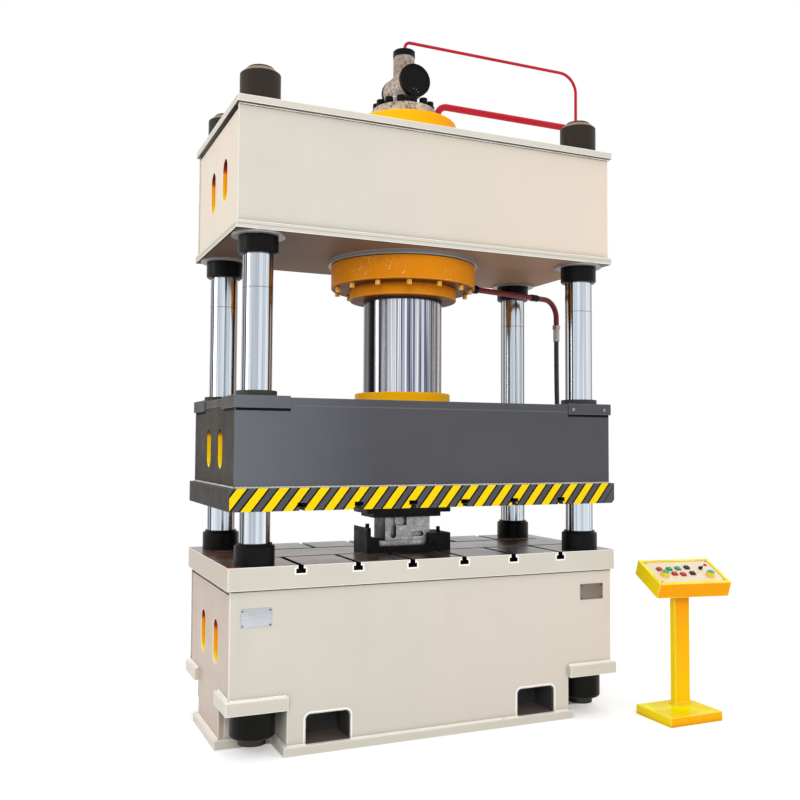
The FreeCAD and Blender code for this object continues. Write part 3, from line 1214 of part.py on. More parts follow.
def make_palm_guard(u, v):
    top = PANEL_TOP + PALM_GUARD_HEIGHT
    return on_console(turned(ring(PALM_BUTTON_R + PALM_BUTTON_GAP, PALM_GUARD_R, PANEL_TOP, top,
                                  high_chamfer=PALM_GUARD_CHAMFER), u, v))


def make_palm_button(u, v):
    top = PANEL_TOP + PALM_GUARD_HEIGHT + PALM_BUTTON_RISE
    flange_top = PANEL_LOW - BUTTON_SEAT
    return on_console(turned([(0, PANEL_TOP - BUTTON_DEPTH),
                              (PALM_STEM_R, PANEL_TOP - BUTTON_DEPTH),
                              (PALM_STEM_R, flange_top - BUTTON_FLANGE),
                              (PALM_FLANGE_R, flange_top - BUTTON_FLANGE),
                              (PALM_FLANGE_R, flange_top),
                              (PALM_STEM_R, flange_top),
                              (PALM_STEM_R, top - PALM_CAP),
                              (PALM_BUTTON_R, top - PALM_CAP),
                              (PALM_BUTTON_R, top - PALM_BUTTON_BEVEL),
                              (PALM_BUTTON_R - PALM_BUTTON_BEVEL, top),
                              (0, top)], u, v))


def make_mode_switch(u, v):
    low = PANEL_TOP + BUTTON_SEAT
    half_length = SWITCH_BAR_LENGTH / 2
    half_width = SWITCH_BAR_WIDTH / 2
    knob_top = low + SWITCH_HEIGHT
    bar = block((u - half_length, u + half_length), (v - half_width, v + half_width),
                (knob_top, knob_top + SWITCH_BAR_HEIGHT))
    knob = post(SWITCH_R, low, knob_top, u, v)
    stem = post(SWITCH_STEM_R, PANEL_TOP - BUTTON_DEPTH, low, u, v)
    keeper = post(SWITCH_R, PANEL_LOW - BUTTON_SEAT - BUTTON_FLANGE, PANEL_LOW - BUTTON_SEAT, u, v)
    return on_console(bar.fuse([knob, stem, keeper]))


def post_outline(ledge, z):
    """Outline of the post at one height, wider by a ledge all round."""
    across = STAND_POST_WIDTH / 2 + ledge
    deep = STAND_POST_DEPTH / 2 + ledge
    corners = [(-across, -deep), (across, -deep), (across, deep), (-across, deep), (-across, -deep)]
    return Part.makePolygon([Vector(STAND_POST_X + x, STAND_POST_Y + y, z) for x, y in corners])


def make_pillar():
    """Base tray, flared foot and box-section post, welded into one stand."""
    base = block((STAND_BASE_LEFT, STAND_BASE_LEFT + STAND_BASE_WIDTH),
                 (-STAND_BASE_FORWARD, STAND_BASE_DEPTH - STAND_BASE_FORWARD),
                 (0, STAND_BASE_HEIGHT))
    post_x = (STAND_POST_X - STAND_POST_WIDTH / 2, STAND_POST_X + STAND_POST_WIDTH / 2)
    post_y = (STAND_POST_Y - STAND_POST_DEPTH / 2, STAND_POST_Y + STAND_POST_DEPTH / 2)
    pillar = block(post_x, post_y, (STAND_BASE_HEIGHT, CONSOLE_FRONT_Z + CONSOLE_HEIGHT))
    above = on_console(console_block(-CONSOLE_DEPTH, (-CONSOLE_HEIGHT, 4 * CONSOLE_HEIGHT)))
    foot_outline = post_outline(STAND_FOOT_LEDGE, STAND_BASE_HEIGHT)
    high_outline = post_outline(0.0, STAND_BASE_HEIGHT + STAND_FOOT_HEIGHT)
    flare = Part.makeLoft([foot_outline, high_outline], True)
    return base.fuse([pillar.cut(above), flare]).removeSplitter()


save("stand_pillar", make_pillar())
save("stand_console", make_console())
save("stand_panel", make_panel())
save("palm_button_guards", *[make_palm_guard(u, v) for u, v in PALM_BUTTONS.values()])
for name, place in SQUARE_BUTTONS.items():
    save(name, make_square_button(*place))
for name, place in PALM_BUTTONS.items():
    save(name, make_palm_button(*place))
save("mode_switch", make_mode_switch(*SWITCH_PLACE))
save("signal_lamp", on_console(turned(ring(0, LAMP_R, PANEL_TOP, PANEL_TOP + LAMP_HEIGHT,
                                           high_chamfer=LAMP_BEVEL), *LAMP_PLACE)))
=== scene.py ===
import math

import bmesh
import bpy
from mathutils import Matrix, Vector


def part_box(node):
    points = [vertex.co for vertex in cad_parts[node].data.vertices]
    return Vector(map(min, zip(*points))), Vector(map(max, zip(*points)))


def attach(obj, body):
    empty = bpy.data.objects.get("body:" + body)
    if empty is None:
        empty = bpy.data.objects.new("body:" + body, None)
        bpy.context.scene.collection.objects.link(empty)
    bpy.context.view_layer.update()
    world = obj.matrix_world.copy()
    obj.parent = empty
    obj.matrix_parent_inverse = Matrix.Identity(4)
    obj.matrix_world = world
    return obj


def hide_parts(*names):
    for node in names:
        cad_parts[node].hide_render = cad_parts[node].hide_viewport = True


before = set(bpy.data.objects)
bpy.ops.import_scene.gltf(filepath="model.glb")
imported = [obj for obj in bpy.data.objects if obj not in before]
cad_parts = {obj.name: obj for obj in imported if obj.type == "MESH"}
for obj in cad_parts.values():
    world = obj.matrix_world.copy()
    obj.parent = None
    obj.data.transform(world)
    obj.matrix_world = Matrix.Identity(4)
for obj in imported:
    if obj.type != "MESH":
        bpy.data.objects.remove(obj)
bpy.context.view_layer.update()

# ---------------------------------------------------------------- camera
CAMERA_PLACE = (-2.09524, -4.73974, 1.49447)
CAMERA_YAW = -23.7097
CAMERA_PITCH = 2.7517
CAMERA_ROLL = 0.3159
CAMERA_LENS = 41.01


def place_camera():
    data = bpy.data.cameras.new("camera")
    data.lens = CAMERA_LENS
    data.sensor_width = 36.0
    data.clip_end = 200.0
    camera = bpy.data.objects.new("camera", data)
    turn = (Matrix.Rotation(math.radians(CAMERA_YAW), 4, "Z")
            @ Matrix.Rotation(math.radians(90 + CAMERA_PITCH), 4, "X")
            @ Matrix.Rotation(math.radians(CAMERA_ROLL), 4, "Z"))
    camera.matrix_world = Matrix.Translation(CAMERA_PLACE) @ turn
    bpy.context.collection.objects.link(camera)
    bpy.context.scene.camera = camera


place_camera()
bpy.context.scene.view_settings.view_transform = "Standard"

# ---------------------------------------------------------------- node graphs
MATERIALS = {}


class Graph:
    """Builds a material's node tree with short calls, and files it by its look's name."""

    def __init__(self, name):
        self.material = MATERIALS[name] = bpy.data.materials.new(name)
        self.material.use_nodes = True
        self.tree = self.material.node_tree
        self.tree.nodes.clear()
        self.shader = self.add("ShaderNodeBsdfPrincipled")
        output = self.add("ShaderNodeOutputMaterial")
        self.link(self.shader.outputs[0], output.inputs["Surface"])
        self.coords = self.add("ShaderNodeTexCoord").outputs["Object"]

    def add(self, kind, **settings):
        node = self.tree.nodes.new(kind)
        for key, value in settings.items():
            setattr(node, key, value)
        return node

    def link(self, source, target):
        self.tree.links.new(source, target)

    def put(self, socket, value):
        if isinstance(value, bpy.types.NodeSocket):
            self.link(value, socket)
        else:
            socket.default_value = value

    def math(self, operation, first, second=0.0, third=0.0):
        node = self.add("ShaderNodeMath", operation=operation)
        for socket, value in zip(node.inputs, (first, second, third)):
            self.put(socket, value)
        return node.outputs[0]

    def noise(self, scale, detail, stretch=None, distortion=0.0):
        node = self.add("ShaderNodeTexNoise")
        node.inputs["Scale"].default_value = scale
        node.inputs["Detail"].default_value = detail
        node.inputs["Roughness"].default_value = 0.55
        node.inputs["Distortion"].default_value = distortion
        source = self.coords
        if stretch:
            mapping = self.add("ShaderNodeMapping")
            mapping.inputs["Scale"].default_value = stretch
            self.link(source, mapping.inputs["Vector"])
            source = mapping.outputs[0]
        self.link(source, node.inputs["Vector"])
        return node.outputs["Fac"]

    def ramp(self, value, low, high, start=0.0, end=1.0):
        """Maps low..high to start..end, held at both ends."""
        node = self.add("ShaderNodeMapRange")
        node.clamp = True
        for socket, item in zip(node.inputs, (value, low, high, start, end)):
            self.put(socket, item)
        return node.outputs[0]

    def mix(self, factor, first, second, blend="MIX"):
        node = self.add("ShaderNodeMix", data_type="RGBA", blend_type=blend)
        self.put(node.inputs["Factor"], factor)
        for socket, value in ((node.inputs[6], first), (node.inputs[7], second)):
            if not isinstance(value, bpy.types.NodeSocket):
                value = (*value[:3], 1.0)
            self.put(socket, value)
        return node.outputs[2]

    def split(self, vector=None):
        node = self.add("ShaderNodeSeparateXYZ")
        self.link(vector or self.coords, node.inputs[0])
        return node.outputs

    def normal(self):
        """Parts of the surface's direction, in the object's own frame."""
        return self.split(self.add("ShaderNodeTexCoord").outputs["Normal"])

    def within(self, value, low, high):
        return self.math("MULTIPLY", self.math("GREATER_THAN", value, low),
                         self.math("LESS_THAN", value, high))

    def beyond(self, value, limit):
        """1 where a value lies further from 0 than a limit, to either side."""
        return self.math("GREATER_THAN", self.math("ABSOLUTE", value), limit)

    def near(self, value, limit):
        return self.math("LESS_THAN", self.math("ABSOLUTE", value), limit)

    def minus(self, first, second):
        return self.math("SUBTRACT", first, second)

    def times(self, first, *others):
        for other in others:
            first = self.math("MULTIPLY", first, other)
        return first

    def most(self, first, *others):
        for other in others:
            first = self.math("MAXIMUM", first, other)
        return first

    def patches(self, scale, detail, low, high, start=0.0, end=1.0):
        """Soft patches: noise whose values from low to high run from start to end."""
        return self.ramp(self.noise(scale, detail), low, high, start, end)

    def stops(self, value, tones):
        """Tone by value, from (value, tone) stops with straight runs between them."""
        node = self.add("ShaderNodeValToRGB")
        elements = node.color_ramp.elements
        while len(elements) < len(tones):
            elements.new(0.5)
        for element, (place, tone) in zip(elements, tones):
            element.position = place
        for element, (place, tone) in zip(elements, tones):
            element.color = (*tone, 1.0)
        self.put(node.inputs["Fac"], value)
        return node.outputs["Color"]

    def edges(self, radius):
        """1 along outer and inner edges, 0 on open faces."""
        bevel = self.add("ShaderNodeBevel", samples=6)
        bevel.inputs["Radius"].default_value = radius
        facing = self.add("ShaderNodeVectorMath", operation="DOT_PRODUCT")
        self.link(bevel.outputs[0], facing.inputs[0])
        self.link(self.add("ShaderNodeNewGeometry").outputs["Normal"], facing.inputs[1])
        return self.ramp(facing.outputs["Value"], 0.96, 0.995, 1.0, 0.0)

    def bump(self, height, strength, distance, soften=0.0):
        node = self.add("ShaderNodeBump")
        node.inputs["Strength"].default_value = strength
        node.inputs["Distance"].default_value = distance
        self.link(height, node.inputs["Height"])
        if soften:
            bevel = self.add("ShaderNodeBevel", samples=4)
            bevel.inputs["Radius"].default_value = soften
            self.link(bevel.outputs[0], node.inputs["Normal"])
        self.link(node.outputs[0], self.shader.inputs["Normal"])

    def crevices(self, reach):
        """0 on open faces, towards 1 where another face stands close."""
        node = self.add("ShaderNodeAmbientOcclusion", samples=4)
        node.inputs["Distance"].default_value = reach
        return self.ramp(node.outputs["AO"], 0.42, 0.8, 1.0, 0.0)

    def finish(self, color, roughness, metallic=0.0, coat=0.0, specular=0.4):
        self.put(self.shader.inputs["Base Color"],
                 color if isinstance(color, bpy.types.NodeSocket) else (*color[:3], 1.0))
        self.put(self.shader.inputs["Roughness"], roughness)
        self.put(self.shader.inputs["Metallic"], metallic)
        self.put(self.shader.inputs["Specular IOR Level"], specular)
        self.put(self.shader.inputs["Coat Weight"], coat)
        self.put(self.shader.inputs["Coat Roughness"], 0.08)
        return self.material


def shade(color, factor):
    return tuple(min(1.0, channel * factor) for channel in color)


def paint(name, color, roughness=0.35, coat=0.05, dirt=0.1, peel=0.1, soften=0.0025, edge=None,
          crevice_shade=None, under_shade=None, top=None, specular=0.2, detail=None, reach=None):
    """Sprayed machine paint: faint mottling, upright streaks, orange peel and eased edges, with
    painted highlights on edges and upward faces and painted shade in crevices and on downward
    faces.
    """
    graph = Graph(name)
    cloudy = graph.patches(2.3, 4.0, 0.3, 0.75)
    fine = graph.patches(38.0, 3.0, 0.35, 0.75)
    base = graph.mix(cloudy, shade(color, 1 - dirt), color)
    base = graph.mix(graph.times(fine, 0.35), base, shade(color, 1 - 0.6 * dirt))
    streaks = graph.ramp(graph.noise(6.0, 5.0, stretch=(1.0, 1.0, 0.12)), 0.56, 0.8)
    base = graph.mix(graph.times(streaks, dirt * 2.2), base, shade(color, 0.72))
    # Painted light: upward faces turned towards the top colour.
    if top:
        base = graph.mix(graph.ramp(graph.normal()[2], 0.5, 0.9), base, top)
    if detail:
        base = detail(graph, base)
    # Painted highlight along edges, broken in patches.
    if edge:
        broken = graph.patches(14.0, 4.0, 0.25, 0.6, 0.65, 1.0)
        base = graph.mix(graph.times(graph.edges(EDGE_RADIUS), broken), base, edge)
    # Painted shade in crevices, found by ambient occlusion.
    if crevice_shade:
        near = graph.times(graph.crevices(reach or CREVICE_SHADE_REACH), 0.85)
        base = graph.mix(near, base, crevice_shade)
    # Painted shade on downward faces, in patches.
    if under_shade:
        down = graph.ramp(graph.normal()[2], -0.9, -0.5, 1.0, 0.0)
        patchy_shade = graph.patches(1.7, 4.0, 0.3, 0.7, 0.8, 1.0)
        base = graph.mix(graph.times(down, patchy_shade), base, under_shade)
    rough = graph.patches(11.0, 4.0, 0.2, 0.8, roughness - 0.07, roughness + 0.1)
    graph.bump(graph.noise(420.0, 2.0), peel, 0.002, soften)
    return graph.finish(base, rough, coat=coat, specular=specular)


def wall_detail(span, outer, rim, tones, recess=None):
    """Side plate: primed window reveals, yellow low as painted light and dark high as painted
    shade, and painted shade in a recess on top.
    """
    def dress(graph, base):
        place, normal = graph.split(), graph.normal()
        inward = graph.near(normal[0], 0.5)
        middle = graph.near(place[1], WINDOW_REACH)
        reveal = graph.times(inward, middle, graph.within(place[2], *span))
        # Painted light and shade down the reveal: yellow at the bottom, dark at the top.
        tone = graph.stops(graph.ramp(place[2], *span), tones)
        # Outer lip of the reveal in the rim colour: a painted highlight on the bed and crown, a
        # black outline on the slide.
        lip = graph.beyond(place[0], outer - 0.004)
        base = graph.mix(reveal, base, graph.mix(lip, tone, rim))
        if recess:
            low, high = recess
            # Painted shade in the recess under the ledge above.
            deep = graph.times(graph.within(place[2], low, high), graph.beyond(normal[0], 0.5))
            share = graph.ramp(place[2], low, high)
            base = graph.mix(deep, base, graph.stops(share, RECESS_SHADE_TONES))
        return base
    return dress


def crown_floor_material():
    """Cream rim with a groove and painted edge highlight, and painted shade on the underside:
    brown, patchy, darker to the left and near black at the rim.
    """
    graph = Graph("crown_floor")
    place, normal = graph.split(), graph.normal()
    cloudy = graph.patches(2.3, 4.0, 0.3, 0.75)
    rim = graph.mix(cloudy, shade(CREAM, 0.95), CREAM)
    rim = graph.mix(graph.edges(EDGE_RADIUS), rim, CREAM_EDGE_HIGHLIGHT)
    groove = graph.times(graph.within(place[2], *CROWN_GROOVE), graph.near(normal[2], 0.5))
    rim = graph.mix(graph.times(groove, 0.6), rim, (0.33, 0.3, 0.265))
    # Painted shade on the underside: brown, darker to the left, in patches.
    patchy_shade = graph.patches(1.7, 4.0, 0.3, 0.7)
    below = graph.mix(graph.ramp(place[0], -1.05, 0.75), (0.13, 0.078, 0.052), (0.42, 0.245, 0.15))
    below = graph.mix(graph.times(patchy_shade, 0.35), below, (0.06, 0.042, 0.032))
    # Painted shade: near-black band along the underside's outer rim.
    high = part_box("crown_bottom_plate")[1]
    near_x = graph.beyond(place[0], high[0] - 0.01)
    near_y = graph.beyond(place[1], high[1] - 0.01)
    below = graph.mix(graph.most(near_x, near_y), below, (0.008, 0.006, 0.005))
    color = graph.mix(graph.ramp(normal[2], -0.9, -0.5, 1.0, 0.0), rim, below)
    graph.bump(graph.noise(420.0, 2.0), 0.1, 0.002, 0.0025)
    return graph.finish(color, 0.5, specular=0.04)


def slide_detail(graph, base):
    """Painted sheen: bluer and paler towards the left end of the front; painted shade: brown and
    dark on the sides.
    """
    place, normal = graph.split(), graph.normal()
    left = graph.ramp(place[0], -1.08, -0.35, 1.0, 0.0)
    base = graph.mix(graph.times(left, 0.85), base, (0.14, 0.153, 0.172))
    # Painted shade on the side faces.
    side = graph.beyond(normal[0], 0.5)
    worn = graph.patches(3.2, 4.0, 0.3, 0.7)
    brown = graph.mix(worn, (0.052, 0.046, 0.04), (0.074, 0.065, 0.057))
    return graph.mix(side, base, brown)


def slide_front_detail(graph, base):
    """The slide's paint, with a painted shadow line under the corner caps."""
    base = slide_detail(graph, base)
    place, normal = graph.split(), graph.normal()
    under_cap = graph.times(graph.within(place[2], *CAP_SHADOW),
                            graph.beyond(place[0], CAP_INNER[0]), graph.beyond(normal[1], 0.5))
    return graph.mix(under_cap, base, BLACK_OUTLINE_AND_SHADE)


def slide_wall_detail(graph, base):
    base = slide_detail(graph, base)
    place = graph.split()
    # Painted shadow line under the corner caps.
    under_cap = graph.times(graph.within(place[2], *CAP_SHADOW),
                            graph.beyond(place[1], CAP_INNER[1]))
    base = graph.mix(under_cap, base, BLACK_OUTLINE_AND_SHADE)
    return wall_detail(SLIDE_WINDOW, SLIDE_SIDE, BLACK_OUTLINE_AND_SHADE, SLIDE_WINDOW_LIGHT_AND_SHADE_TONES)(graph, base)


def front_detail(right, seam_shadow, pockets=False):
    """Front and back plates: warmer to the right, a painted shadow along the seam on top, and fork
    pockets outlined in a painted highlight with a black line of painted shade at their mouth.
    """
    def dress(graph, base):
        place, normal = graph.split(), graph.normal()
        facing_out = graph.beyond(normal[1], 0.5)
        base = graph.mix(graph.times(graph.ramp(place[0], -0.5, 1.05), 0.9), base, right)
        # Painted shadow under the ledge along the seam on top.
        base = graph.mix(graph.times(facing_out, graph.within(place[2], *seam_shadow)), base, SEAM_SHADOW_BROWN)
        if pockets:
            off = graph.minus(graph.math("ABSOLUTE", place[0]), POCKET_MIDDLE)
            off = graph.minus(graph.math("ABSOLUTE", off), POCKET_HALF - POCKET_CORNER)
            off = graph.most(off, 0.0)
            rise = graph.most(graph.minus(place[2], POCKET_TOP - POCKET_CORNER), 0.0)
            reach = graph.math("SQRT", graph.math("ADD", graph.times(off, off),
                                                  graph.times(rise, rise)))
            # Painted highlight round the pocket, with a black line of painted shade at its mouth.
            ring = graph.math("LESS_THAN", reach, POCKET_CORNER + 0.012)
            base = graph.mix(graph.times(ring, facing_out), base, CREAM_EDGE_HIGHLIGHT)
            mouth = graph.math("LESS_THAN", reach, POCKET_CORNER + 0.004)
            base = graph.mix(mouth, base, BLACK_OUTLINE_AND_SHADE)
        return base
    return dress


def stand_detail(graph, base):
    """Yellower on upper and left faces, as painted light, and low on the post, than on the
    console's front.
    """
    place, normal = graph.split(), graph.normal()
    low = graph.ramp(place[2], 0.05, 0.66, 1.0, 0.0)
    base = graph.mix(graph.times(low, 0.9), base, (0.99, 0.62, 0.001))
    foot = graph.math("LESS_THAN", place[2], 0.052)
    base = graph.mix(foot, base, STAND_YELLOW)
    # Painted light on left and upper faces.
    left = graph.ramp(normal[0], -0.6, -0.4, 1.0, 0.0)
    base = graph.mix(left, base, (1.0, 0.76, 0.001))
    up = graph.ramp(normal[2], 0.5, 0.9)
    patch = graph.patches(7.0, 3.0, 0.42, 0.6)
    return graph.mix(up, base, graph.mix(patch, (0.985, 0.76, 0.001), (1.0, 0.99, 0.001)))


def ledge_detail(graph, base):
    """Darker floor inside the fork pockets."""
    place = graph.split()
    off = graph.minus(graph.math("ABSOLUTE", place[0]), POCKET_MIDDLE)
    inside = graph.times(graph.near(off, POCKET_HALF), graph.near(place[1], POCKET_REACH),
                         graph.within(place[2], *POCKET_FLOOR))
    return graph.mix(inside, base, (0.15, 0.125, 0.105))


def head_detail(graph, base):
    """Yellow on the left of the cylinder head, orange to the right."""
    return graph.mix(graph.ramp(graph.split()[0], -0.1, 0.3), base, (0.88, 0.3, 0.002))


def scratch_sheen_detail(graph, base):
    """Web of fine pale scratches in patches, their paleness a painted reflection."""
    web = graph.add("ShaderNodeTexVoronoi", feature="DISTANCE_TO_EDGE")
    web.inputs["Scale"].default_value = 26.0
    graph.link(graph.coords, web.inputs["Vector"])
    line = graph.ramp(web.outputs["Distance"], 0.008, 0.03, 1.0, 0.0)
    patch = graph.patches(5.5, 4.0, 0.52, 0.6)
    broken = graph.patches(60.0, 2.0, 0.45, 0.6)
    return graph.mix(graph.times(line, patch, broken, 0.75), base, (0.9, 0.56, 0.33))


def plastic(name, color):
    graph = Graph(name)
    worn = graph.patches(55.0, 4.0, 0.45, 0.8)
    base = graph.mix(graph.times(worn, 0.25), color, shade(color, 0.8))
    rough = graph.patches(80.0, 3.0, 0.2, 0.8, 0.19, 0.35)
    graph.bump(graph.noise(900.0, 2.0), 0.06, 0.0008, 0.0012)
    return graph.finish(base, rough, coat=0.15)


def chrome(name, tones, axis=(0.0, 0.0), reflection_line_scale=60.0, depth=0.5, joint_z=None, black_ends=None):
    """Ground and chromed shaft: painted reflections as lengthwise bands by angle round it and fine
    dark lines, and faint rings.
    """
    graph = Graph(name)
    place = graph.split()
    across = []
    for index in (0, 1):
        centre = graph.times(graph.math("SIGN", place[index]), axis[index])
        across.append(graph.minus(place[index], centre))
    turn = graph.math("DIVIDE", graph.math("ARCTAN2", across[1], across[0]), math.pi)
    share = graph.math("FRACT", graph.math("ADD", turn, REFLECTION_BAND_START))
    # Painted reflections: tone by angle round the axis.
    tone = graph.stops(share, tones)
    # Fine dark lines along the shaft, also painted reflection.
    lines = graph.ramp(graph.noise(reflection_line_scale, 1.0, stretch=(1.0, 1.0, 0.004)), 0.46, 0.54)
    thin = graph.ramp(graph.noise(2.7 * reflection_line_scale, 1.0, stretch=(1.0, 1.0, 0.004)), 0.44, 0.58)
    both = graph.math("ADD", graph.times(lines, 0.6), graph.times(thin, 0.4))
    dimmed = graph.mix(1.0, tone, (1 - depth, 1 - depth, 1 - 0.92 * depth), "MULTIPLY")
    tone = graph.mix(both, dimmed, tone)
    rings = graph.noise(3.0, 6.0, stretch=(1.0, 1.0, 260.0))
    rough = graph.ramp(rings, 0.3, 0.75, 0.13, 0.2)
    if joint_z:
        away = graph.math("ABSOLUTE", graph.minus(place[2], joint_z))
        tone = graph.mix(graph.math("LESS_THAN", away, JOINT_HALF_WIDTH), tone, (0.05, 0.05, 0.05))
    # Black ends: thread ends on the columns; on the rod's top, a painted shadow under the gland.
    if black_ends:
        ends = graph.most(graph.math("LESS_THAN", place[2], black_ends[0]),
                          graph.math("GREATER_THAN", place[2], black_ends[1]))
        tone = graph.mix(ends, tone, (0.045, 0.04, 0.036))
        rough = graph.most(rough, graph.times(ends, 0.5))
    return graph.finish(tone, rough, metallic=1.0)


def dark_steel(name, color=(0.004, 0.004, 0.0045), roughness=0.36, tones=None):
    """Black oxide: satin, with fine turning rings and rubbed spots."""
    graph = Graph(name)
    rub = graph.patches(17.0, 6.0, 0.55, 0.85)
    turned = graph.noise(4.0, 4.0, stretch=(1.0, 1.0, 120.0))
    base = graph.mix(graph.times(rub, 0.45), color, shade(color, 3.0))
    if tones:
        height = graph.split()[2]
        for low, tone in tones:
            base = graph.mix(graph.math("GREATER_THAN", height, low), base, tone)
    rough = graph.ramp(turned, 0.3, 0.75, roughness - 0.08, roughness + 0.12)
    graph.bump(turned, 0.08, 0.002, 0.002)
    return graph.finish(base, rough, metallic=0.1, specular=0.12)


def bright_steel(name, color=(0.55, 0.55, 0.54), roughness=0.3):
    graph = Graph(name)
    grain = graph.noise(14.0, 5.0, stretch=(1.0, 18.0, 18.0))
    base = graph.mix(graph.ramp(grain, 0.3, 0.7), shade(color, 0.78), color)
    rough = graph.ramp(grain, 0.25, 0.75, roughness - 0.06, roughness + 0.14)
    graph.bump(grain, 0.12, 0.001, 0.001)
    return graph.finish(base, rough, metallic=1.0)


def rubber_material():
    graph = Graph("rubber")
    dust = graph.patches(30.0, 5.0, 0.5, 0.85)
    base = graph.mix(graph.times(dust, 0.5), (0.022, 0.022, 0.023), (0.09, 0.085, 0.08))
    rough = graph.patches(60.0, 3.0, 0.25, 0.8, 0.42, 0.62)
    graph.bump(graph.noise(500.0, 3.0), 0.18, 0.001)
    return graph.finish(base, rough)


EDGE_RADIUS = 0.007
CREVICE_SHADE_REACH = 0.035
JOINT_Z = 2.255
JOINT_HALF_WIDTH = 0.0012
CREAM = (0.655, 0.62, 0.54)
BED_SIDE_SHADED_CREAM = (0.53, 0.425, 0.345)
CROWN_SIDE_LIT_CREAM = (0.8, 0.695, 0.575)
TABLE_SIDE_SHADED_CREAM = (0.53, 0.44, 0.365)
HIGHLIGHT_CREAM = (0.96, 0.93, 0.87)
CREAM_EDGE_HIGHLIGHT = (0.98, 0.955, 0.9)
CREAM_CREVICE_SHADE = (0.16, 0.125, 0.1)
CREAM_SHADE = (0.03, 0.022, 0.017)
SLIDE_GREY = (0.086, 0.087, 0.099)
ORANGE = (0.72, 0.24, 0.008)
ORANGE_EDGE_HIGHLIGHT = (0.96, 0.44, 0.04)
ORANGE_SHADE = (0.09, 0.014, 0.004)
YELLOW = (0.94, 0.49, 0.006)
FLANGE_YELLOW = (1.0, 0.48, 0.004)
PRIMER = (0.96, 0.52, 0.01)
RED_PIPE = (0.5, 0.004, 0.018)
DARK_RED = (0.19, 0.012, 0.014)
STAND_YELLOW = (0.975, 0.47, 0.002)
STAND_ORANGE = (0.93, 0.375, 0.003)
HAZARD_YELLOW = (0.9, 0.64, 0.004)
BLACK_OUTLINE_AND_SHADE = (0.004, 0.004, 0.006)
WINDOW_LIGHT_AND_SHADE_TONES = [
    (0.0, (1.0, 0.95, 0.12)), (0.12, (1.0, 0.7, 0.01)), (0.3, (1.0, 0.48, 0.006)),
    (0.7, (0.96, 0.36, 0.005)), (0.8, (0.42, 0.03, 0.005)), (0.93, (0.08, 0.008, 0.003)),
    (1.0, (0.02, 0.004, 0.003)),
]
SLIDE_WINDOW_LIGHT_AND_SHADE_TONES = [
    (0.0, (1.0, 0.95, 0.2)), (0.15, (1.0, 0.76, 0.004)), (0.8, (0.96, 0.56, 0.004)),
    (0.88, (0.3, 0.14, 0.01)), (1.0, (0.03, 0.02, 0.01)),
]
SEAM_SHADOW_BROWN = (0.045, 0.034, 0.027)
CAP_SHADOW = (1.65, 1.664)
CAP_INNER = (0.8, 0.218)
RECESS_SHADE_TONES = [
    (0.0, (0.01, 0.008, 0.007)), (0.16, (0.02, 0.015, 0.014)), (0.26, (0.085, 0.064, 0.056)),
    (0.72, (0.08, 0.06, 0.054)), (0.84, (0.012, 0.01, 0.009)), (1.0, (0.006, 0.005, 0.005)),
]
BLUE_WHITE = (0.74, 0.83, 0.9)
COLUMN_REFLECTION_TONES = [
    (0.0, (0.45, 0.43, 0.42)), (0.06, (0.13, 0.11, 0.1)), (0.13, (0.16, 0.14, 0.13)),
    (0.155, (0.9, 0.91, 0.92)), (0.18, (0.8, 0.81, 0.82)), (0.195, (0.03, 0.03, 0.034)),
    (0.225, (0.05, 0.05, 0.056)), (0.24, (0.52, 0.54, 0.57)), (0.275, (0.42, 0.44, 0.47)),
    (0.29, (0.012, 0.012, 0.015)), (0.31, (0.03, 0.032, 0.038)), (0.33, BLUE_WHITE),
    (0.55, (0.8, 0.87, 0.93)), (0.735, BLUE_WHITE), (0.76, (0.9, 0.905, 0.91)),
    (0.8, (0.96, 0.965, 0.97)), (0.815, (0.04, 0.034, 0.032)), (0.85, (0.07, 0.05, 0.04)),
    (0.87, (0.64, 0.56, 0.5)), (0.93, (0.18, 0.13, 0.1)), (1.0, (0.45, 0.43, 0.42)),
]
ROD_REFLECTION_TONES = [
    (0.0, (0.02, 0.018, 0.017)), (0.08, (0.15, 0.145, 0.14)), (0.12, (0.014, 0.013, 0.013)),
    (0.17, (0.26, 0.25, 0.245)), (0.21, (0.012, 0.012, 0.012)), (0.26, (0.03, 0.03, 0.032)),
    (0.275, (0.93, 0.94, 0.95)), (0.3, (0.9, 0.91, 0.92)), (0.31, (0.02, 0.02, 0.022)),
    (0.335, (0.05, 0.05, 0.055)), (0.36, (0.62, 0.64, 0.68)), (0.45, (0.9, 0.93, 0.97)),
    (0.56, (0.96, 0.975, 0.99)), (0.66, (0.76, 0.81, 0.88)), (0.72, (0.9, 0.92, 0.95)),
    (0.76, (0.14, 0.14, 0.15)), (0.79, (0.95, 0.94, 0.93)), (0.83, (0.03, 0.028, 0.028)),
    (0.86, (0.86, 0.74, 0.68)), (0.91, (0.82, 0.7, 0.64)), (0.925, (0.012, 0.011, 0.011)),
    (1.0, (0.02, 0.018, 0.017)),
]
REFLECTION_BAND_START = 0.14


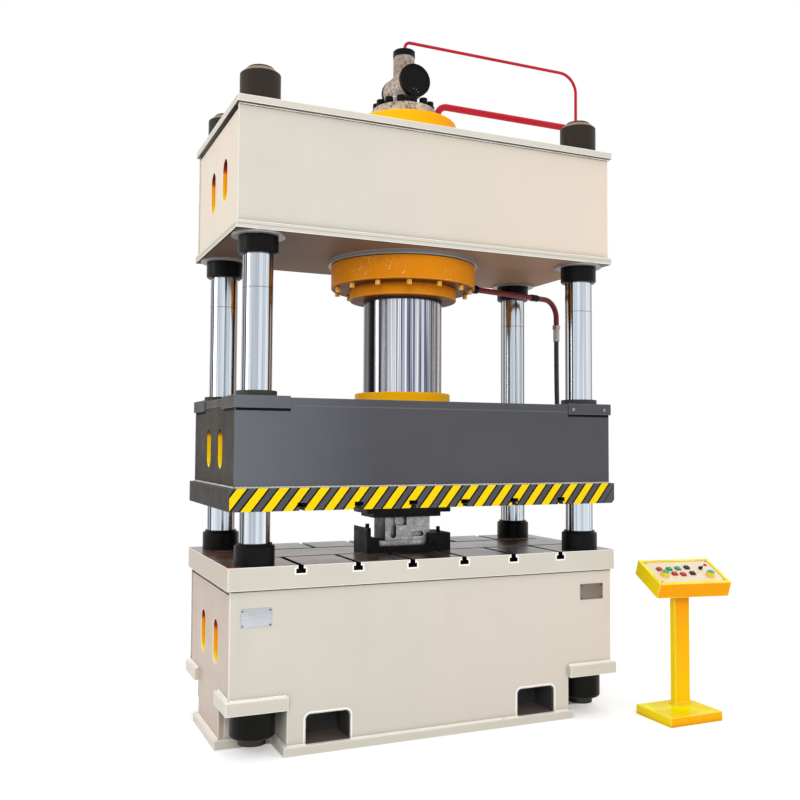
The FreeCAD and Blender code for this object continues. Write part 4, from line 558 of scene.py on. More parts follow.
def table_material():
    """Cream sides with painted shade on the end faces and a painted highlight round the slot
    mouths; an oily, rusty, scratched top with painted highlight on its edges, black in its slots
    as painted shade.
    """
    graph = Graph("table")
    place = graph.split()
    top = graph.ramp(place[2], TABLE_CORNER[2] - 0.004, TABLE_CORNER[2] - 0.0035)
    side_color = graph.mix(graph.patches(2.3, 4.0, 0.3, 0.75), shade(CREAM, 0.92), CREAM)
    normal = graph.normal()
    end_face = graph.beyond(normal[0], 0.5)
    # Painted shade on the end faces.
    side_color = graph.mix(end_face, side_color, TABLE_SIDE_SHADED_CREAM)
    side_color = graph.mix(graph.edges(EDGE_RADIUS), side_color, CREAM_EDGE_HIGHLIGHT)
    ends = graph.most(graph.math("ABSOLUTE", normal[0]), graph.math("ABSOLUTE", normal[1]))
    outer_x = graph.beyond(place[0], TABLE_CORNER[0] - 0.001)
    outer_y = graph.beyond(place[1], TABLE_CORNER[1] - 0.001)
    outside = graph.times(ends, graph.most(outer_x, outer_y))
    oil = graph.ramp(graph.noise(3.1, 6.0, distortion=0.8), 0.4, 0.62)
    plate = graph.mix(oil, (0.04, 0.026, 0.02), (0.27, 0.215, 0.18))
    rust = graph.ramp(graph.noise(7.0, 5.0, distortion=0.5), 0.45, 0.62)
    left = graph.ramp(place[0], -0.95, -0.3, 1.0, 0.3)
    plate = graph.mix(graph.times(rust, left), plate, (0.27, 0.085, 0.026))
    scratches = graph.ramp(graph.noise(9.0, 4.0, stretch=(1.0, 14.0, 1.0)), 0.6, 0.7)
    plate = graph.mix(graph.times(scratches, 0.45), plate, (0.33, 0.29, 0.26))
    # Painted highlight along the top's edges.
    plate = graph.mix(graph.times(graph.edges(0.004), 0.55), plate, (0.62, 0.56, 0.51))
    # Painted shade: black below the top face, in the slots.
    plate = graph.mix(top, (0.008, 0.007, 0.007), plate)
    fold = graph.math("FRACT", graph.math("DIVIDE", place[0], SLOT_PITCH))
    off = graph.math("ABSOLUTE", graph.times(graph.minus(fold, 0.5), SLOT_PITCH))
    throat = graph.times(graph.math("LESS_THAN", off, THROAT_HALF),
                         graph.math("GREATER_THAN", place[2], THROAT_LOW))
    head = graph.times(graph.math("LESS_THAN", off, HEAD_HALF),
                       graph.within(place[2], *HEAD_SPAN))
    mouths = graph.times(graph.most(throat, head), graph.near(place[0], SLOTS_END))
    # Painted highlight round the slot mouths.
    side_color = graph.mix(mouths, side_color, CREAM_EDGE_HIGHLIGHT)
    color = graph.mix(outside, plate, side_color)
    rough = graph.mix(outside, (0.26,) * 3, (0.36,) * 3)
    graph.bump(graph.noise(140.0, 4.0), 0.12, 0.002, 0.002)
    metallic = graph.times(graph.minus(1.0, outside), 0.35)
    return graph.finish(color, graph.split(rough)[0], metallic, specular=0.3)


def hazard_material():
    """Dark grey flange whose front face carries slanting yellow stripes with black edges."""
    graph = Graph("hazard")
    place = graph.split()
    low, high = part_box("slide_flange")
    slant = STRIPE_SLANT / (high[2] - low[2])
    along = graph.minus(place[0], STRIPE_START)
    along = graph.math("ADD", along, graph.times(slant, graph.minus(high[2], place[2])))
    wobble = graph.times(graph.minus(graph.noise(20.0, 2.0), 0.5), 0.003)
    phase = graph.math("DIVIDE", graph.math("ADD", along, wobble), STRIPE_PITCH)
    cycle = graph.math("FRACT", phase)
    stripe = graph.math("LESS_THAN", cycle, STRIPE_SHARE)
    near_start = graph.math("LESS_THAN", cycle, STRIPE_EDGE)
    near_end = graph.math("LESS_THAN", graph.math("ABSOLUTE", graph.minus(cycle, STRIPE_SHARE)),
                          STRIPE_EDGE)
    wrap = graph.math("GREATER_THAN", cycle, 1 - STRIPE_EDGE)
    outline = graph.most(near_start, near_end, wrap)
    counted = graph.times(graph.math("GREATER_THAN", phase, -STRIPE_EDGE),
                          graph.math("LESS_THAN", phase, STRIPE_COUNT))
    front = graph.math("LESS_THAN", place[1], low[1] + 0.0008)
    inside = graph.times(front, counted)
    grey = graph.mix(graph.patches(3.0, 4.0, 0.3, 0.75), shade(SLIDE_GREY, 0.86), SLIDE_GREY)
    end_face = graph.beyond(graph.normal()[0], 0.5)
    # Painted shade on the end faces.
    grey = graph.mix(end_face, grey, (0.034, 0.029, 0.026))
    # Painted highlight along edges.
    grey = graph.mix(graph.times(graph.edges(EDGE_RADIUS), 0.6), grey, (0.19, 0.19, 0.2))
    worn = graph.patches(24.0, 6.0, 0.68, 0.82)
    yellow = graph.mix(worn, HAZARD_YELLOW, shade(HAZARD_YELLOW, 0.72))
    painted = graph.mix(graph.times(inside, stripe), grey, yellow)
    color = graph.mix(graph.times(inside, outline), painted, BLACK_OUTLINE_AND_SHADE)
    rough = graph.patches(11.0, 4.0, 0.2, 0.8, 0.4, 0.56)
    graph.bump(graph.noise(420.0, 2.0), 0.08, 0.002, 0.0025)
    return graph.finish(color, rough, specular=0.06)


def cast_material():
    """Pale, stained sand casting with a coarse, speckled skin."""
    graph = Graph("casting")
    patch = graph.patches(9.0, 5.0, 0.35, 0.7)
    base = graph.mix(patch, (0.33, 0.265, 0.22), (0.8, 0.69, 0.6))
    pits = graph.patches(48.0, 5.0, 0.5, 0.62)
    base = graph.mix(graph.times(pits, 0.8), base, (0.13, 0.1, 0.085))
    # Painted shade in crevices.
    base = graph.mix(graph.times(graph.crevices(0.06), 0.9), base, (0.035, 0.027, 0.022))
    graph.bump(graph.noise(170.0, 5.0), 0.55, 0.003, 0.003)
    return graph.finish(base, 0.62, specular=0.3)


def die_material(name, color, roughness, hollow_reach=None):
    """Oily tool steel with handling marks and a painted highlight on its edges; with a reach,
    painted shade: black in hollows and on left faces.
    """
    graph = Graph(name)
    marks = graph.ramp(graph.noise(32.0, 6.0, distortion=1.2), 0.48, 0.72)
    base = graph.mix(marks, color, shade(color, 1.9))
    stains = graph.patches(12.0, 5.0, 0.5, 0.72)
    base = graph.mix(graph.times(stains, 0.6), base, shade(color, 0.35))
    base = graph.mix(graph.times(graph.edges(0.003), 0.5), base, shade(color, 2.2))
    # Painted shade: black on left faces and in hollows.
    if hollow_reach:
        left = graph.math("LESS_THAN", graph.normal()[0], -0.5)
        dark = graph.most(left, graph.crevices(hollow_reach))
        base = graph.mix(graph.times(dark, 0.94), base, (0.01, 0.009, 0.009))
    rough = graph.patches(26.0, 4.0, 0.25, 0.75, roughness - 0.1, roughness + 0.15)
    graph.bump(graph.noise(90.0, 5.0), 0.2, 0.002, 0.0015)
    return graph.finish(base, rough, metallic=0.6)


BED_WINDOW = (0.3935, 0.6145)
SLIDE_WINDOW = (1.3625, 1.5675)
CROWN_WINDOW = (2.7235, 2.9445)
WINDOW_REACH = 0.26
BED_SIDE = 1.081
SLIDE_SIDE = 1.0705
CROWN_SIDE = 1.0725
BED_RECESS = (0.769, 0.796)
CROWN_RECESS = (3.1145, 3.1345)
BED_SEAM_SHADOW = (0.7885, 0.797)
CROWN_SEAM_SHADOW = (3.127, 3.135)
CROWN_GROOVE = (2.5405, 2.5455)
COLUMN_ENDS = (0.222, 3.168)
ROD_SHADOW_ENDS = (1.7, 2.291)
POCKET_MIDDLE = 0.592
POCKET_HALF = 0.114
POCKET_TOP = 0.185
POCKET_CORNER = 0.026
POCKET_REACH = 0.466
POCKET_FLOOR = (0.03, 0.06)
TABLE_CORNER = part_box("bed_table")[1]
SLOT_PITCH = 0.297
SLOTS_END = 0.8
THROAT_HALF = 0.02
THROAT_LOW = 0.883
HEAD_HALF = 0.0315
HEAD_SPAN = (0.86, 0.895)
STRIPE_PITCH = 0.10385
STRIPE_START = -1.0685
STRIPE_SLANT = 0.088
STRIPE_SHARE = 0.56
STRIPE_EDGE = 0.05
STRIPE_COUNT = 21

# In these paint looks the edge colours are painted highlights along edges, the colours for
# crevices and downward faces are painted shade, and the top colour is painted light on upward
# faces.
paint("cream", CREAM, dirt=0.06, edge=CREAM_EDGE_HIGHLIGHT, crevice_shade=CREAM_CREVICE_SHADE)
paint("bed_front", CREAM, dirt=0.06, edge=CREAM_EDGE_HIGHLIGHT, crevice_shade=CREAM_CREVICE_SHADE,
      detail=front_detail((0.69, 0.625, 0.545), BED_SEAM_SHADOW, pockets=True))
paint("crown_front", CREAM, dirt=0.06, edge=CREAM_EDGE_HIGHLIGHT, crevice_shade=CREAM_CREVICE_SHADE,
      detail=front_detail((0.76, 0.645, 0.54), CROWN_SEAM_SHADOW))
# Painted light on upward faces, painted shade on downward faces.
paint("cream_ledge", CREAM, dirt=0.06, edge=CREAM_EDGE_HIGHLIGHT, under_shade=CREAM_SHADE, top=HIGHLIGHT_CREAM,
      detail=ledge_detail)
# Weld beads in a much paler cream than the paint: painted highlight.
paint("cream_bead", HIGHLIGHT_CREAM, dirt=0.1)
# The bed's side plates in a darker, warmer cream than the front: painted shade.
paint("bed_side", BED_SIDE_SHADED_CREAM, dirt=0.1, edge=CREAM_EDGE_HIGHLIGHT,
      detail=wall_detail(BED_WINDOW, BED_SIDE, CREAM_EDGE_HIGHLIGHT, WINDOW_LIGHT_AND_SHADE_TONES, BED_RECESS))
# The crown's side plates in a paler cream than the front: painted light.
paint("crown_side", CROWN_SIDE_LIT_CREAM, dirt=0.06, edge=CREAM_EDGE_HIGHLIGHT,
      detail=wall_detail(CROWN_WINDOW, CROWN_SIDE, CREAM_EDGE_HIGHLIGHT, WINDOW_LIGHT_AND_SHADE_TONES, CROWN_RECESS))
crown_floor_material()
# Painted shade: black on downward faces.
paint("slide", SLIDE_GREY, roughness=0.42, coat=0.0, dirt=0.14, specular=0.08,
      edge=(0.15, 0.15, 0.16), under_shade=BLACK_OUTLINE_AND_SHADE, detail=slide_front_detail)
paint("slide_wall", SLIDE_GREY, roughness=0.52, coat=0.0, dirt=0.14, specular=0.03,
      edge=(0.12, 0.115, 0.112), detail=slide_wall_detail)
paint("orange", ORANGE, roughness=0.42, coat=0.0, dirt=0.1, specular=0.04, edge=ORANGE_EDGE_HIGHLIGHT,
      crevice_shade=ORANGE_SHADE, under_shade=ORANGE_SHADE, detail=scratch_sheen_detail)
paint("bolt_orange", (0.85, 0.36, 0.03), roughness=0.32, dirt=0.2, edge=(1.0, 0.64, 0.1),
      crevice_shade=ORANGE_SHADE, reach=0.015)
paint("yellow", YELLOW, roughness=0.36, coat=0.0, dirt=0.08, specular=0.06, crevice_shade=ORANGE_SHADE,
      detail=head_detail)
paint("flange_yellow", FLANGE_YELLOW, roughness=0.3, coat=0.0, dirt=0.06, specular=0.06)
paint("primer", PRIMER, roughness=0.5, coat=0.0, dirt=0.12)
paint("pad", (0.23, 0.225, 0.22), roughness=0.3, dirt=0.1, edge=(0.48, 0.47, 0.46))
paint("pocket", (0.07, 0.068, 0.072), roughness=0.45, dirt=0.2)
paint("stand", STAND_ORANGE, roughness=0.34, coat=0.0, dirt=0.03, specular=0.06,
      edge=(1.0, 0.86, 0.26), crevice_shade=(0.42, 0.12, 0.002), detail=stand_detail)
paint("pipe", RED_PIPE, roughness=0.26, coat=0.1, dirt=0.08, soften=0.0)
paint("return_pipe", DARK_RED, roughness=0.28, coat=0.1, dirt=0.1, soften=0.0)
paint("panel", (0.9, 0.76, 0.56), roughness=0.3, dirt=0.06, peel=0.03)
# Painted reflections in bands round the rod; its top end black as a painted shadow under the
# gland.
chrome("rod", ROD_REFLECTION_TONES, reflection_line_scale=64.0, depth=0.93, black_ends=ROD_SHADOW_ENDS)
# Painted reflections in bands round each column, with a dark joint line and black thread ends.
chrome("column", COLUMN_REFLECTION_TONES, (0.945, 0.368), 60.0, 0.42, JOINT_Z, COLUMN_ENDS)
dark_steel("black")
# The foot nuts stay near black as painted shade; the top nuts are lighter, with a brown band on
# the top chamfer.
dark_steel("nut", (0.0035, 0.0038, 0.003), 0.4, [(3.17, (0.03, 0.023, 0.019)),
                                                 (3.323, (0.24, 0.16, 0.1))])
bright_steel("zinc", (0.42, 0.415, 0.405))
bright_steel("bronze", (0.48, 0.3, 0.11), 0.35)
rubber_material()
table_material()
hazard_material()
cast_material()
# Weld line in a far paler grey than the slide: painted highlight.
paint("slide_bead", (0.64, 0.62, 0.595), roughness=0.35, dirt=0.2)
bright_steel("plate_silver", (0.6, 0.625, 0.66), 0.4)
bright_steel("plate_brown", (0.26, 0.225, 0.195), 0.45)
die_material("die_black", (0.007, 0.006, 0.006), 0.5)
die_material("die_grey", (0.42, 0.42, 0.425), 0.38, 0.03)
plastic("red", (0.62, 0.012, 0.012))
plastic("green", (0.02, 0.42, 0.13))
plastic("dark_plastic", (0.012, 0.012, 0.013))
plastic("teal", (0.03, 0.38, 0.34))
plastic("guard", (0.9, 0.64, 0.01))

NODE_LOOKS = {
    "cream": ["bed_corner_walls", "pipe_brackets"],
    "bed_front": ["bed_long_plates"],
    "crown_front": ["crown_long_plates"],
    "cream_ledge": ["bed_base_plate", "bed_corner_shelves", "crown_top_plate"],
    "bed_side": ["bed_side_plates"],
    "crown_side": ["crown_side_plates"],
    "crown_floor": ["crown_bottom_plate"],
    "slide": ["slide_long_plates", "slide_top_plate", "slide_corner_caps"],
    "slide_wall": ["slide_side_plates"],
    "hazard": ["slide_flange"],
    "table": ["bed_table"],
    "orange": ["cylinder_barrel", "cylinder_gland"],
    "bolt_orange": ["gland_bolts"],
    "yellow": ["cylinder_head"],
    "flange_yellow": ["rod_flange"],
    "primer": ["frame_inner_ribs", "slide_inner_ribs"],
    "pad": ["crown_pads"],
    "pocket": ["fork_pockets"],
    "stand": ["stand_pillar", "stand_console"],
    "panel": ["stand_panel"],
    "pipe": ["pilot_pipe", "pressure_pipe"],
    "return_pipe": ["return_pipe"],
    "rod": ["ram_rod"],
    "column": ["columns"],
    "black": ["upper_collars", "lower_collars", "valve_covers", "valve_screws", "pipe_fittings"],
    "nut": ["column_nuts"],
    "zinc": ["hose_ferrules"],
    "bronze": ["guide_bushes"],
    "rubber": ["wiper_rings"],
    "casting": ["valve_body"],
    "die_black": ["lower_die_holder", "upper_die_plates"],
    "die_grey": ["lower_die_plate", "upper_die_punch"],
    "red": ["red_button_left", "red_button_middle", "red_button_right", "signal_lamp"],
    "green": ["green_button_left", "green_button_right"],
    "dark_plastic": ["black_button_back", "black_button_front", "mode_switch"],
    "teal": ["palm_button_left", "palm_button_right"],
    "guard": ["palm_button_guards"],
}


def dress_nodes():
    for look, nodes in NODE_LOOKS.items():
        for node in nodes:
            part = bpy.data.objects[node]
            part.data.materials.clear()
            part.data.materials.append(MATERIALS[look])


dress_nodes()

# ---------------------------------------------------------------- small pieces
SHARP_ANGLE = 35


def add_piece(name, mesh_data, look, body):
    mesh = bpy.data.meshes.new(name)
    mesh_data.to_mesh(mesh)
    mesh_data.free()
    mesh.materials.append(MATERIALS[look])
    mesh.shade_smooth()
    mesh.set_sharp_from_angle(angle=math.radians(SHARP_ANGLE))
    piece = bpy.data.objects.new(name, mesh)
    bpy.context.collection.objects.link(piece)
    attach(piece, body)


def add_block(data, low, high, ease, place=None):
    """Block with eased edges between two corners, moved by a matrix if one is given."""
    size = [high[axis] - low[axis] for axis in range(3)]
    middle = [(high[axis] + low[axis]) / 2 for axis in range(3)]
    made = bmesh.ops.create_cube(data, size=1.0)["verts"]
    bmesh.ops.scale(data, vec=size, verts=made)
    bmesh.ops.translate(data, vec=middle, verts=made)
    edges = list({edge for vert in made for edge in vert.link_edges})
    before = set(data.verts)
    eased = bmesh.ops.bevel(data, geom=edges, offset=ease, segments=2, affect="EDGES",
                            profile=0.5)["verts"]
    made = [vert for vert in set(eased) | {vert for vert in made if vert.is_valid}
            | (set(data.verts) - before)]
    if place:
        bmesh.ops.transform(data, matrix=place, verts=made)


def add_lathe(data, profile, place, sides=24):
    """Turned form from (radius, height) points, its axis along the matrix's Z."""
    rings = []
    for radius, height in profile:
        if radius < 1e-6:
            rings.append([data.verts.new(place @ Vector((0, 0, height)))])
            continue
        angles = [2 * math.pi * step / sides for step in range(sides)]
        rings.append([data.verts.new(place @ Vector((radius * math.cos(angle),
                                                     radius * math.sin(angle), height)))
                      for angle in angles])
    for lower, upper in zip(rings, rings[1:]):
        for step in range(sides):
            ahead = (step + 1) % sides
            if len(lower) == 1:
                data.faces.new((lower[0], upper[step], upper[ahead]))
            elif len(upper) == 1:
                data.faces.new((lower[step], lower[ahead], upper[0]))
            else:
                data.faces.new((lower[step], lower[ahead], upper[ahead], upper[step]))


def facing(direction, place):
    """Matrix that turns Z to a direction and moves the origin to a place."""
    turn = Vector(direction).to_track_quat("Z", "Y").to_matrix().to_4x4()
    return Matrix.Translation(place) @ turn


WELD_STEP = 0.011
WELD_SIDES = 7
WELD_RIPPLE = 0.16


def add_weld(data, start, end, radius):
    """Rippled bead along a seam."""
    start, end = Vector(start), Vector(end)
    length = (end - start).length
    count = max(3, round(length / WELD_STEP))
    turn = facing(end - start, start)
    profile = [(0.0, 0.0)]
    for step in range(count + 1):
        share = step / count
        swell = 1 + WELD_RIPPLE * math.sin(2.7 * step) + 0.5 * WELD_RIPPLE * math.sin(0.37 * step)
        profile.append((radius * swell, share * length))
    profile.append((0.0, length))
    add_lathe(data, profile, turn, WELD_SIDES)


def corners_of(node):
    low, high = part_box(node)
    return Vector(low), Vector(high)


BED_LOW, BED_HIGH = corners_of("bed_long_plates")
SHELF_TOP = corners_of("bed_corner_shelves")[1].z
SLIDE_LOW, SLIDE_HIGH = corners_of("slide_long_plates")
FLANGE_TOP = corners_of("slide_flange")[1].z
CROWN_LOW, CROWN_HIGH = corners_of("crown_long_plates")
SIDE_INSET = 0.004
LONG_PLATE = 0.016
NOTCH = (0.801, 0.24)
BEAD = 0.0045
SHELF_BEAD = 0.007


def make_bed_welds():
    data = bmesh.new()
    foot = BED_LOW.z
    for side in (-1, 1):
        y = side * BED_HIGH.y
        gaps = [(-NOTCH[0], -POCKET_MIDDLE - POCKET_HALF),
                (-POCKET_MIDDLE + POCKET_HALF, POCKET_MIDDLE - POCKET_HALF),
                (POCKET_MIDDLE + POCKET_HALF, NOTCH[0])]
        for left, right in gaps:
            add_weld(data, (left, y, foot), (right, y, foot), BEAD)
        x = side * (BED_HIGH.x - SIDE_INSET)
        add_weld(data, (x, -NOTCH[1], foot), (x, NOTCH[1], foot), BEAD)
        for end in (-1, 1):
            add_weld(data, (side * NOTCH[0], end * NOTCH[1], foot),
                     (side * NOTCH[0], end * (BED_HIGH.y - 0.002), foot), BEAD)
            add_weld(data, (side * (NOTCH[0] + 0.004), end * BED_HIGH.y, SHELF_TOP),
                     (side * BED_HIGH.x, end * BED_HIGH.y, SHELF_TOP), SHELF_BEAD)
            add_weld(data, (side * (BED_HIGH.x - SIDE_INSET), end * NOTCH[1], SHELF_TOP),
                     (side * (BED_HIGH.x - SIDE_INSET), end * (BED_HIGH.y - 0.014), SHELF_TOP),
                     SHELF_BEAD)
    add_piece("bed_weld_beads", data, "cream_bead", "frame")


def make_crown_welds():
    data = bmesh.new()
    for z in (CROWN_LOW.z, CROWN_HIGH.z):
        for side in (-1, 1):
            y = side * CROWN_HIGH.y
            add_weld(data, (CROWN_LOW.x, y, z), (CROWN_HIGH.x, y, z), BEAD)
    for side in (-1, 1):
        x = side * (CROWN_HIGH.x - SIDE_INSET)
        add_weld(data, (x, CROWN_LOW.y + LONG_PLATE, CROWN_LOW.z),
                 (x, CROWN_HIGH.y - LONG_PLATE, CROWN_LOW.z), BEAD)
    add_piece("crown_weld_beads", data, "cream_bead", "frame")


def make_slide_welds():
    data = bmesh.new()
    z = FLANGE_TOP
    for side in (-1, 1):
        y = side * SLIDE_HIGH.y
        add_weld(data, (SLIDE_LOW.x, y, z), (SLIDE_HIGH.x, y, z), SHELF_BEAD)
        x = side * (SLIDE_HIGH.x - SIDE_INSET)
        add_weld(data, (x, SLIDE_LOW.y + LONG_PLATE, z), (x, SLIDE_HIGH.y - LONG_PLATE, z),
                 SHELF_BEAD)
    add_piece("slide_weld_beads", data, "slide_bead", "slide")


SCREW_PROFILE = [(0.0058, 0.0), (0.0058, 0.0035), (0.005, 0.0044), (0.0028, 0.0044),
                 (0.0026, 0.0018), (0.0, 0.0018)]


def add_screw(data, place, direction, scale=1.0):
    profile = [(radius * scale, height * scale) for radius, height in SCREW_PROFILE]
    add_lathe(data, profile, facing(direction, place), 14)


def make_plate(name, x_span, z_span, look, record_slot, screw_look):
    """Blank plate on the front of the bed, with a raised border and a screw in each corner."""
    front = BED_LOW.y
    thick, border, rim = 0.0012, 0.004, 0.0006
    plate = bmesh.new()
    add_block(plate, (x_span[0], front - thick, z_span[0]), (x_span[1], front, z_span[1]), 0.0004)
    for low, high in (((x_span[0], z_span[0]), (x_span[1], z_span[0] + border)),
                      ((x_span[0], z_span[1] - border), (x_span[1], z_span[1])),
                      ((x_span[0], z_span[0] + border), (x_span[0] + border, z_span[1] - border)),
                      ((x_span[1] - border, z_span[0] + border), (x_span[1], z_span[1] - border))):
        add_block(plate, (low[0], front - thick - rim, low[1]), (high[0], front - thick, high[1]),
                  0.0002)
    add_piece(name, plate, look, "frame")
    screws = bmesh.new()
    inset = 0.009
    for x in (x_span[0] + inset, x_span[1] - inset):
        for z in (z_span[0] + inset, z_span[1] - inset):
            add_screw(screws, (x, front - thick, z), (0, -1, 0), 0.6)
    add_piece(name + "_screws", screws, screw_look, "frame")


CAP_SCREWS = [(0.828, 1.69), (1.035, 1.69)]
VALVE_COVER_Z = 3.541
VALVE_SCREWS = [(-0.0095, 3.491), (0.006, 3.486), (0.0172, 3.4745)]
LEFT_PLATE = ((-1.033, -0.88), (0.62, 0.709))
RIGHT_PLATE = ((0.882, 1.032), (0.634, 0.72))


def make_cap_screws():
    """Two socket screws in the front skirt of the right front corner cap."""
    data = bmesh.new()
    front = corners_of("slide_corner_caps")[0].y
    for x, z in CAP_SCREWS:
        add_screw(data, (x, front, z), (0, -1, 0), 1.7)
    add_piece("corner_cap_screws", data, "zinc", "slide")


def make_valve_cover_detail():
    """Raised rim and three small screws on the valve's end cover."""
    front = corners_of("valve_covers")[0].y
    rim = bmesh.new()
    add_lathe(rim, [(0.08, 0.0), (0.08, 0.0025), (0.083, 0.004), (0.089, 0.004), (0.091, 0.0)],
              facing((0, -1, 0), (0, front, VALVE_COVER_Z)), 48)
    add_piece("valve_cover_rim", rim, "black", "frame")
    dots = bmesh.new()
    for x, z in VALVE_SCREWS:
        add_screw(dots, (x, front, z), (0, -1, 0), 0.5)
    add_piece("valve_cover_screws", dots, "zinc", "frame")


make_bed_welds()
make_crown_welds()
make_slide_welds()
make_plate("left_plate", *LEFT_PLATE, "plate_silver", "zinc", "black")
make_plate("right_plate", *RIGHT_PLATE, "plate_brown", "zinc", "black")
make_cap_screws()
make_valve_cover_detail()

# ---------------------------------------------------------------- console
CONSOLE_FRONT = (1.428, -0.776, 0.738)
CONSOLE_TURN = -10.0
CONSOLE_TILT = 22.5
PANEL_HEIGHT = -0.003
CONSOLE = (Matrix.Translation(CONSOLE_FRONT)
           @ Matrix.Rotation(math.radians(CONSOLE_TURN), 4, "Z")
           @ Matrix.Rotation(math.radians(CONSOLE_TILT), 4, "X"))
SQUARE_PLACES = [(-0.1395, 0.1585), (-0.079, 0.1585), (-0.024, 0.1615), (0.0355, 0.168),
                 (-0.0735, 0.106), (-0.024, 0.098), (0.038, 0.1055)]
LAMP_PLACE = (0.167, 0.193)
PANEL_SCREWS = [(-0.188, 0.032), (-0.188, 0.23), (0.188, 0.032), (0.188, 0.23)]


def make_console_detail():
    """Frames round the square buttons, panel screws and a zinc ring round the lamp."""
    frames = bmesh.new()
    outer, inner, high = 0.017, 0.0133, 0.0025
    for u, v in SQUARE_PLACES:
        for low, top in (((-outer, -outer), (outer, -inner)), ((-outer, inner), (outer, outer)),
                         ((-outer, -inner), (-inner, inner)), ((inner, -inner), (outer, inner))):
            add_block(frames, (u + low[0], v + low[1], PANEL_HEIGHT),
                      (u + top[0], v + top[1], PANEL_HEIGHT + high), 0.0005, CONSOLE)
    add_piece("button_frames", frames, "zinc", "frame")
    screws = bmesh.new()
    up = CONSOLE.to_3x3() @ Vector((0, 0, 1))
    for u, v in PANEL_SCREWS:
        add_screw(screws, CONSOLE @ Vector((u, v, PANEL_HEIGHT)), up, 0.7)
    add_piece("panel_screws", screws, "zinc", "frame")
    ring = bmesh.new()
    add_lathe(ring, [(0.0088, 0.0), (0.0088, 0.002), (0.0112, 0.002), (0.0116, 0.0)],
              CONSOLE @ Matrix.Translation((*LAMP_PLACE, PANEL_HEIGHT)), 24)
    add_piece("lamp_ring", ring, "zinc", "frame")


make_console_detail()

# ---------------------------------------------------------------- hose
HOSE_DIAMETER = 0.03
HOSE_START = Vector((1.15, 0.17, 2.152))
HOSE_END = Vector((1.165, 0.02, 0.686))
HOSE_SHARES = [(0.0, 0.0), (0.0, 0.18), (0.08, 0.37), (0.57, 0.56), (0.96, 0.745), (1.0, 0.88),
               (1.0, 1.0)]


def hose_point(across, down):
    way = HOSE_END - HOSE_START
    return HOSE_START + Vector((way.x * across, way.y * across, way.z * down))


HOSE_ROUTE = [hose_point(*shares) for shares in HOSE_SHARES]


def make_hose():
    curve = bpy.data.curves.new("return_hose_run", "CURVE")
    curve.dimensions = "3D"
    curve.bevel_depth = HOSE_DIAMETER / 2
    curve.bevel_resolution = 5
    curve.resolution_u = 16
    curve.use_fill_caps = True
    spline = curve.splines.new("NURBS")
    spline.points.add(len(HOSE_ROUTE) - 1)
    for point, place in zip(spline.points, HOSE_ROUTE):
        point.co = (*place, 1.0)
    spline.order_u = 3
    spline.use_endpoint_u = True
    hose = bpy.data.objects.new("return_hose_run", curve)
    bpy.context.collection.objects.link(hose)
    curve.materials.append(MATERIALS["rubber"])
    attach(hose, "frame")
    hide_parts("return_hose")


make_hose()

# ---------------------------------------------------------------- floor and light


def make_floor():
    """Pale floor that keeps the press's shadow and runs into the backdrop further away."""
    graph = Graph("floor")
    place = graph.split()
    away = graph.math("SQRT", graph.math("ADD", graph.times(place[0], place[0]),
                                         graph.times(place[1], place[1])))
    far = graph.ramp(away, *FLOOR_FADE)
    path = graph.add("ShaderNodeLightPath").outputs
    seen = graph.most(path["Is Camera Ray"], path["Is Glossy Ray"], path["Is Transmission Ray"])
    base = graph.mix(graph.noise(0.8, 3.0), (0.85, 0.85, 0.85), (0.88, 0.88, 0.88))
    base = graph.mix(graph.times(far, seen), base, (0.0, 0.0, 0.0))
    graph.put(graph.shader.inputs["Emission Color"], (1.0, 1.0, 1.0, 1.0))
    glow = graph.ramp(far, 0.0, 1.0, FLOOR_GLOW, WORLD_BACKDROP)
    graph.put(graph.shader.inputs["Emission Strength"], graph.times(seen, glow))
    material = graph.finish(base, 0.7, specular=0.0)
    mesh = bpy.data.meshes.new("floor")
    corners = [(x * FLOOR_HALF, y * FLOOR_HALF, 0)
               for x, y in ((-1, -1), (1, -1), (1, 1), (-1, 1))]
    mesh.from_pydata(corners, [], [(0, 1, 2, 3)])
    mesh.materials.append(material)
    floor = bpy.data.objects.new("floor", mesh)
    bpy.context.collection.objects.link(floor)


def soft_light(name, place, target, size, watts, color=(1.0, 1.0, 1.0), mirrored=False):
    data = bpy.data.lights.new(name, "AREA")
    data.shape = "RECTANGLE"
    data.size, data.size_y = size
    data.energy = watts
    data.color = color
    light = bpy.data.objects.new(name, data)
    direction = Vector(target) - Vector(place)
    light.rotation_euler = direction.to_track_quat("-Z", "Y").to_euler()
    light.location = place
    light.visible_glossy = mirrored
    bpy.context.collection.objects.link(light)


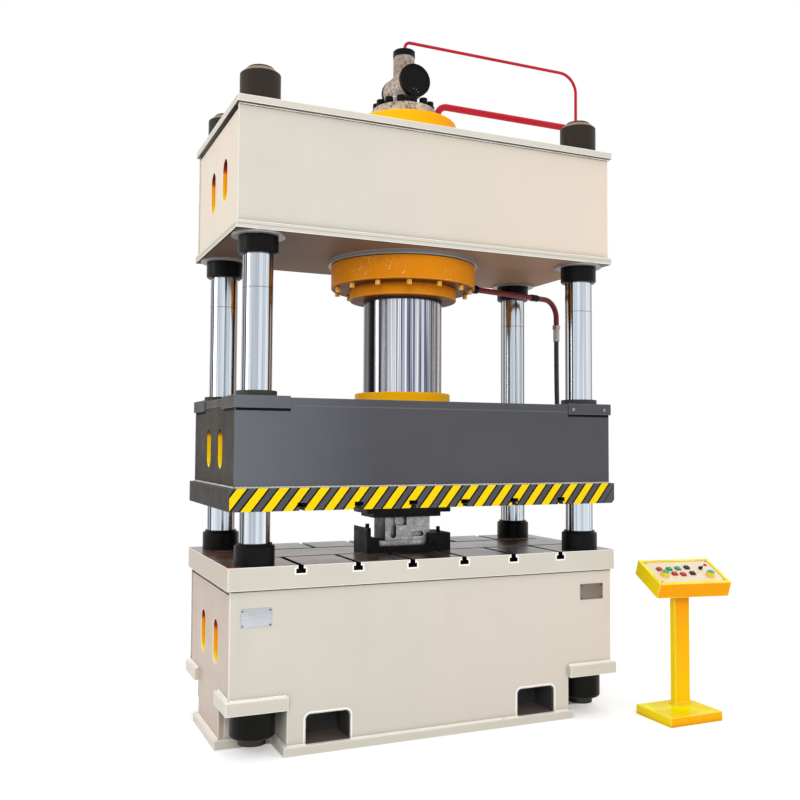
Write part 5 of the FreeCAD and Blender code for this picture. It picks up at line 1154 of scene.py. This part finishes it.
def make_light():
    """Studio with a soft overhead glow that fades to the horizon, and four soft panels."""
    world = bpy.data.worlds.new("studio")
    world.use_nodes = True
    tree = world.node_tree
    background = tree.nodes["Background"]
    background.inputs["Color"].default_value = (1.0, 1.0, 1.0, 1.0)
    sky = tree.nodes.new("ShaderNodeTexCoord").outputs["Generated"]
    split = tree.nodes.new("ShaderNodeSeparateXYZ")
    tree.links.new(sky, split.inputs[0])
    glow = tree.nodes.new("ShaderNodeMapRange")
    glow.inputs["To Min"].default_value = WORLD_HORIZON
    glow.inputs["To Max"].default_value = WORLD_ZENITH
    tree.links.new(split.outputs["Z"], glow.inputs["Value"])
    path = tree.nodes.new("ShaderNodeLightPath").outputs
    seen = path["Is Camera Ray"]
    for kind in ("Is Glossy Ray", "Is Transmission Ray"):
        either = tree.nodes.new("ShaderNodeMath")
        either.operation = "MAXIMUM"
        tree.links.new(seen, either.inputs[0])
        tree.links.new(path[kind], either.inputs[1])
        seen = either.outputs[0]
    strength = tree.nodes.new("ShaderNodeMix")
    strength.inputs[3].default_value = WORLD_BACKDROP
    tree.links.new(seen, strength.inputs[0])
    tree.links.new(glow.outputs[0], strength.inputs[2])
    tree.links.new(strength.outputs[0], background.inputs["Strength"])
    bpy.context.scene.world = world
    soft_light("key", (-3.6, -8.0, 4.6), (0, 0, 1.9), (4.0, 3.0), KEY_WATTS)
    soft_light("left", (-8.5, 0.5, 3.6), (0, 0, 2.4), (3.0, 3.5), LEFT_WATTS, (1.0, 0.95, 0.89),
               True)
    soft_light("right", (5.0, -6.5, 3.2), (0, 0, 1.6), (1.2, 4.5), RIGHT_WATTS)
    soft_light("top", (0.0, 1.0, 9.0), (0, 0, 0), (5.0, 4.0), TOP_WATTS)


WORLD_HORIZON = 0.18
WORLD_ZENITH = 1.05
WORLD_BACKDROP = 1.0
FLOOR_HALF = 60.0
FLOOR_FADE = (2.5, 7.0)
FLOOR_GLOW = 0.34
KEY_WATTS = 300
LEFT_WATTS = 130
RIGHT_WATTS = 70
TOP_WATTS = 160
make_floor()
make_light()
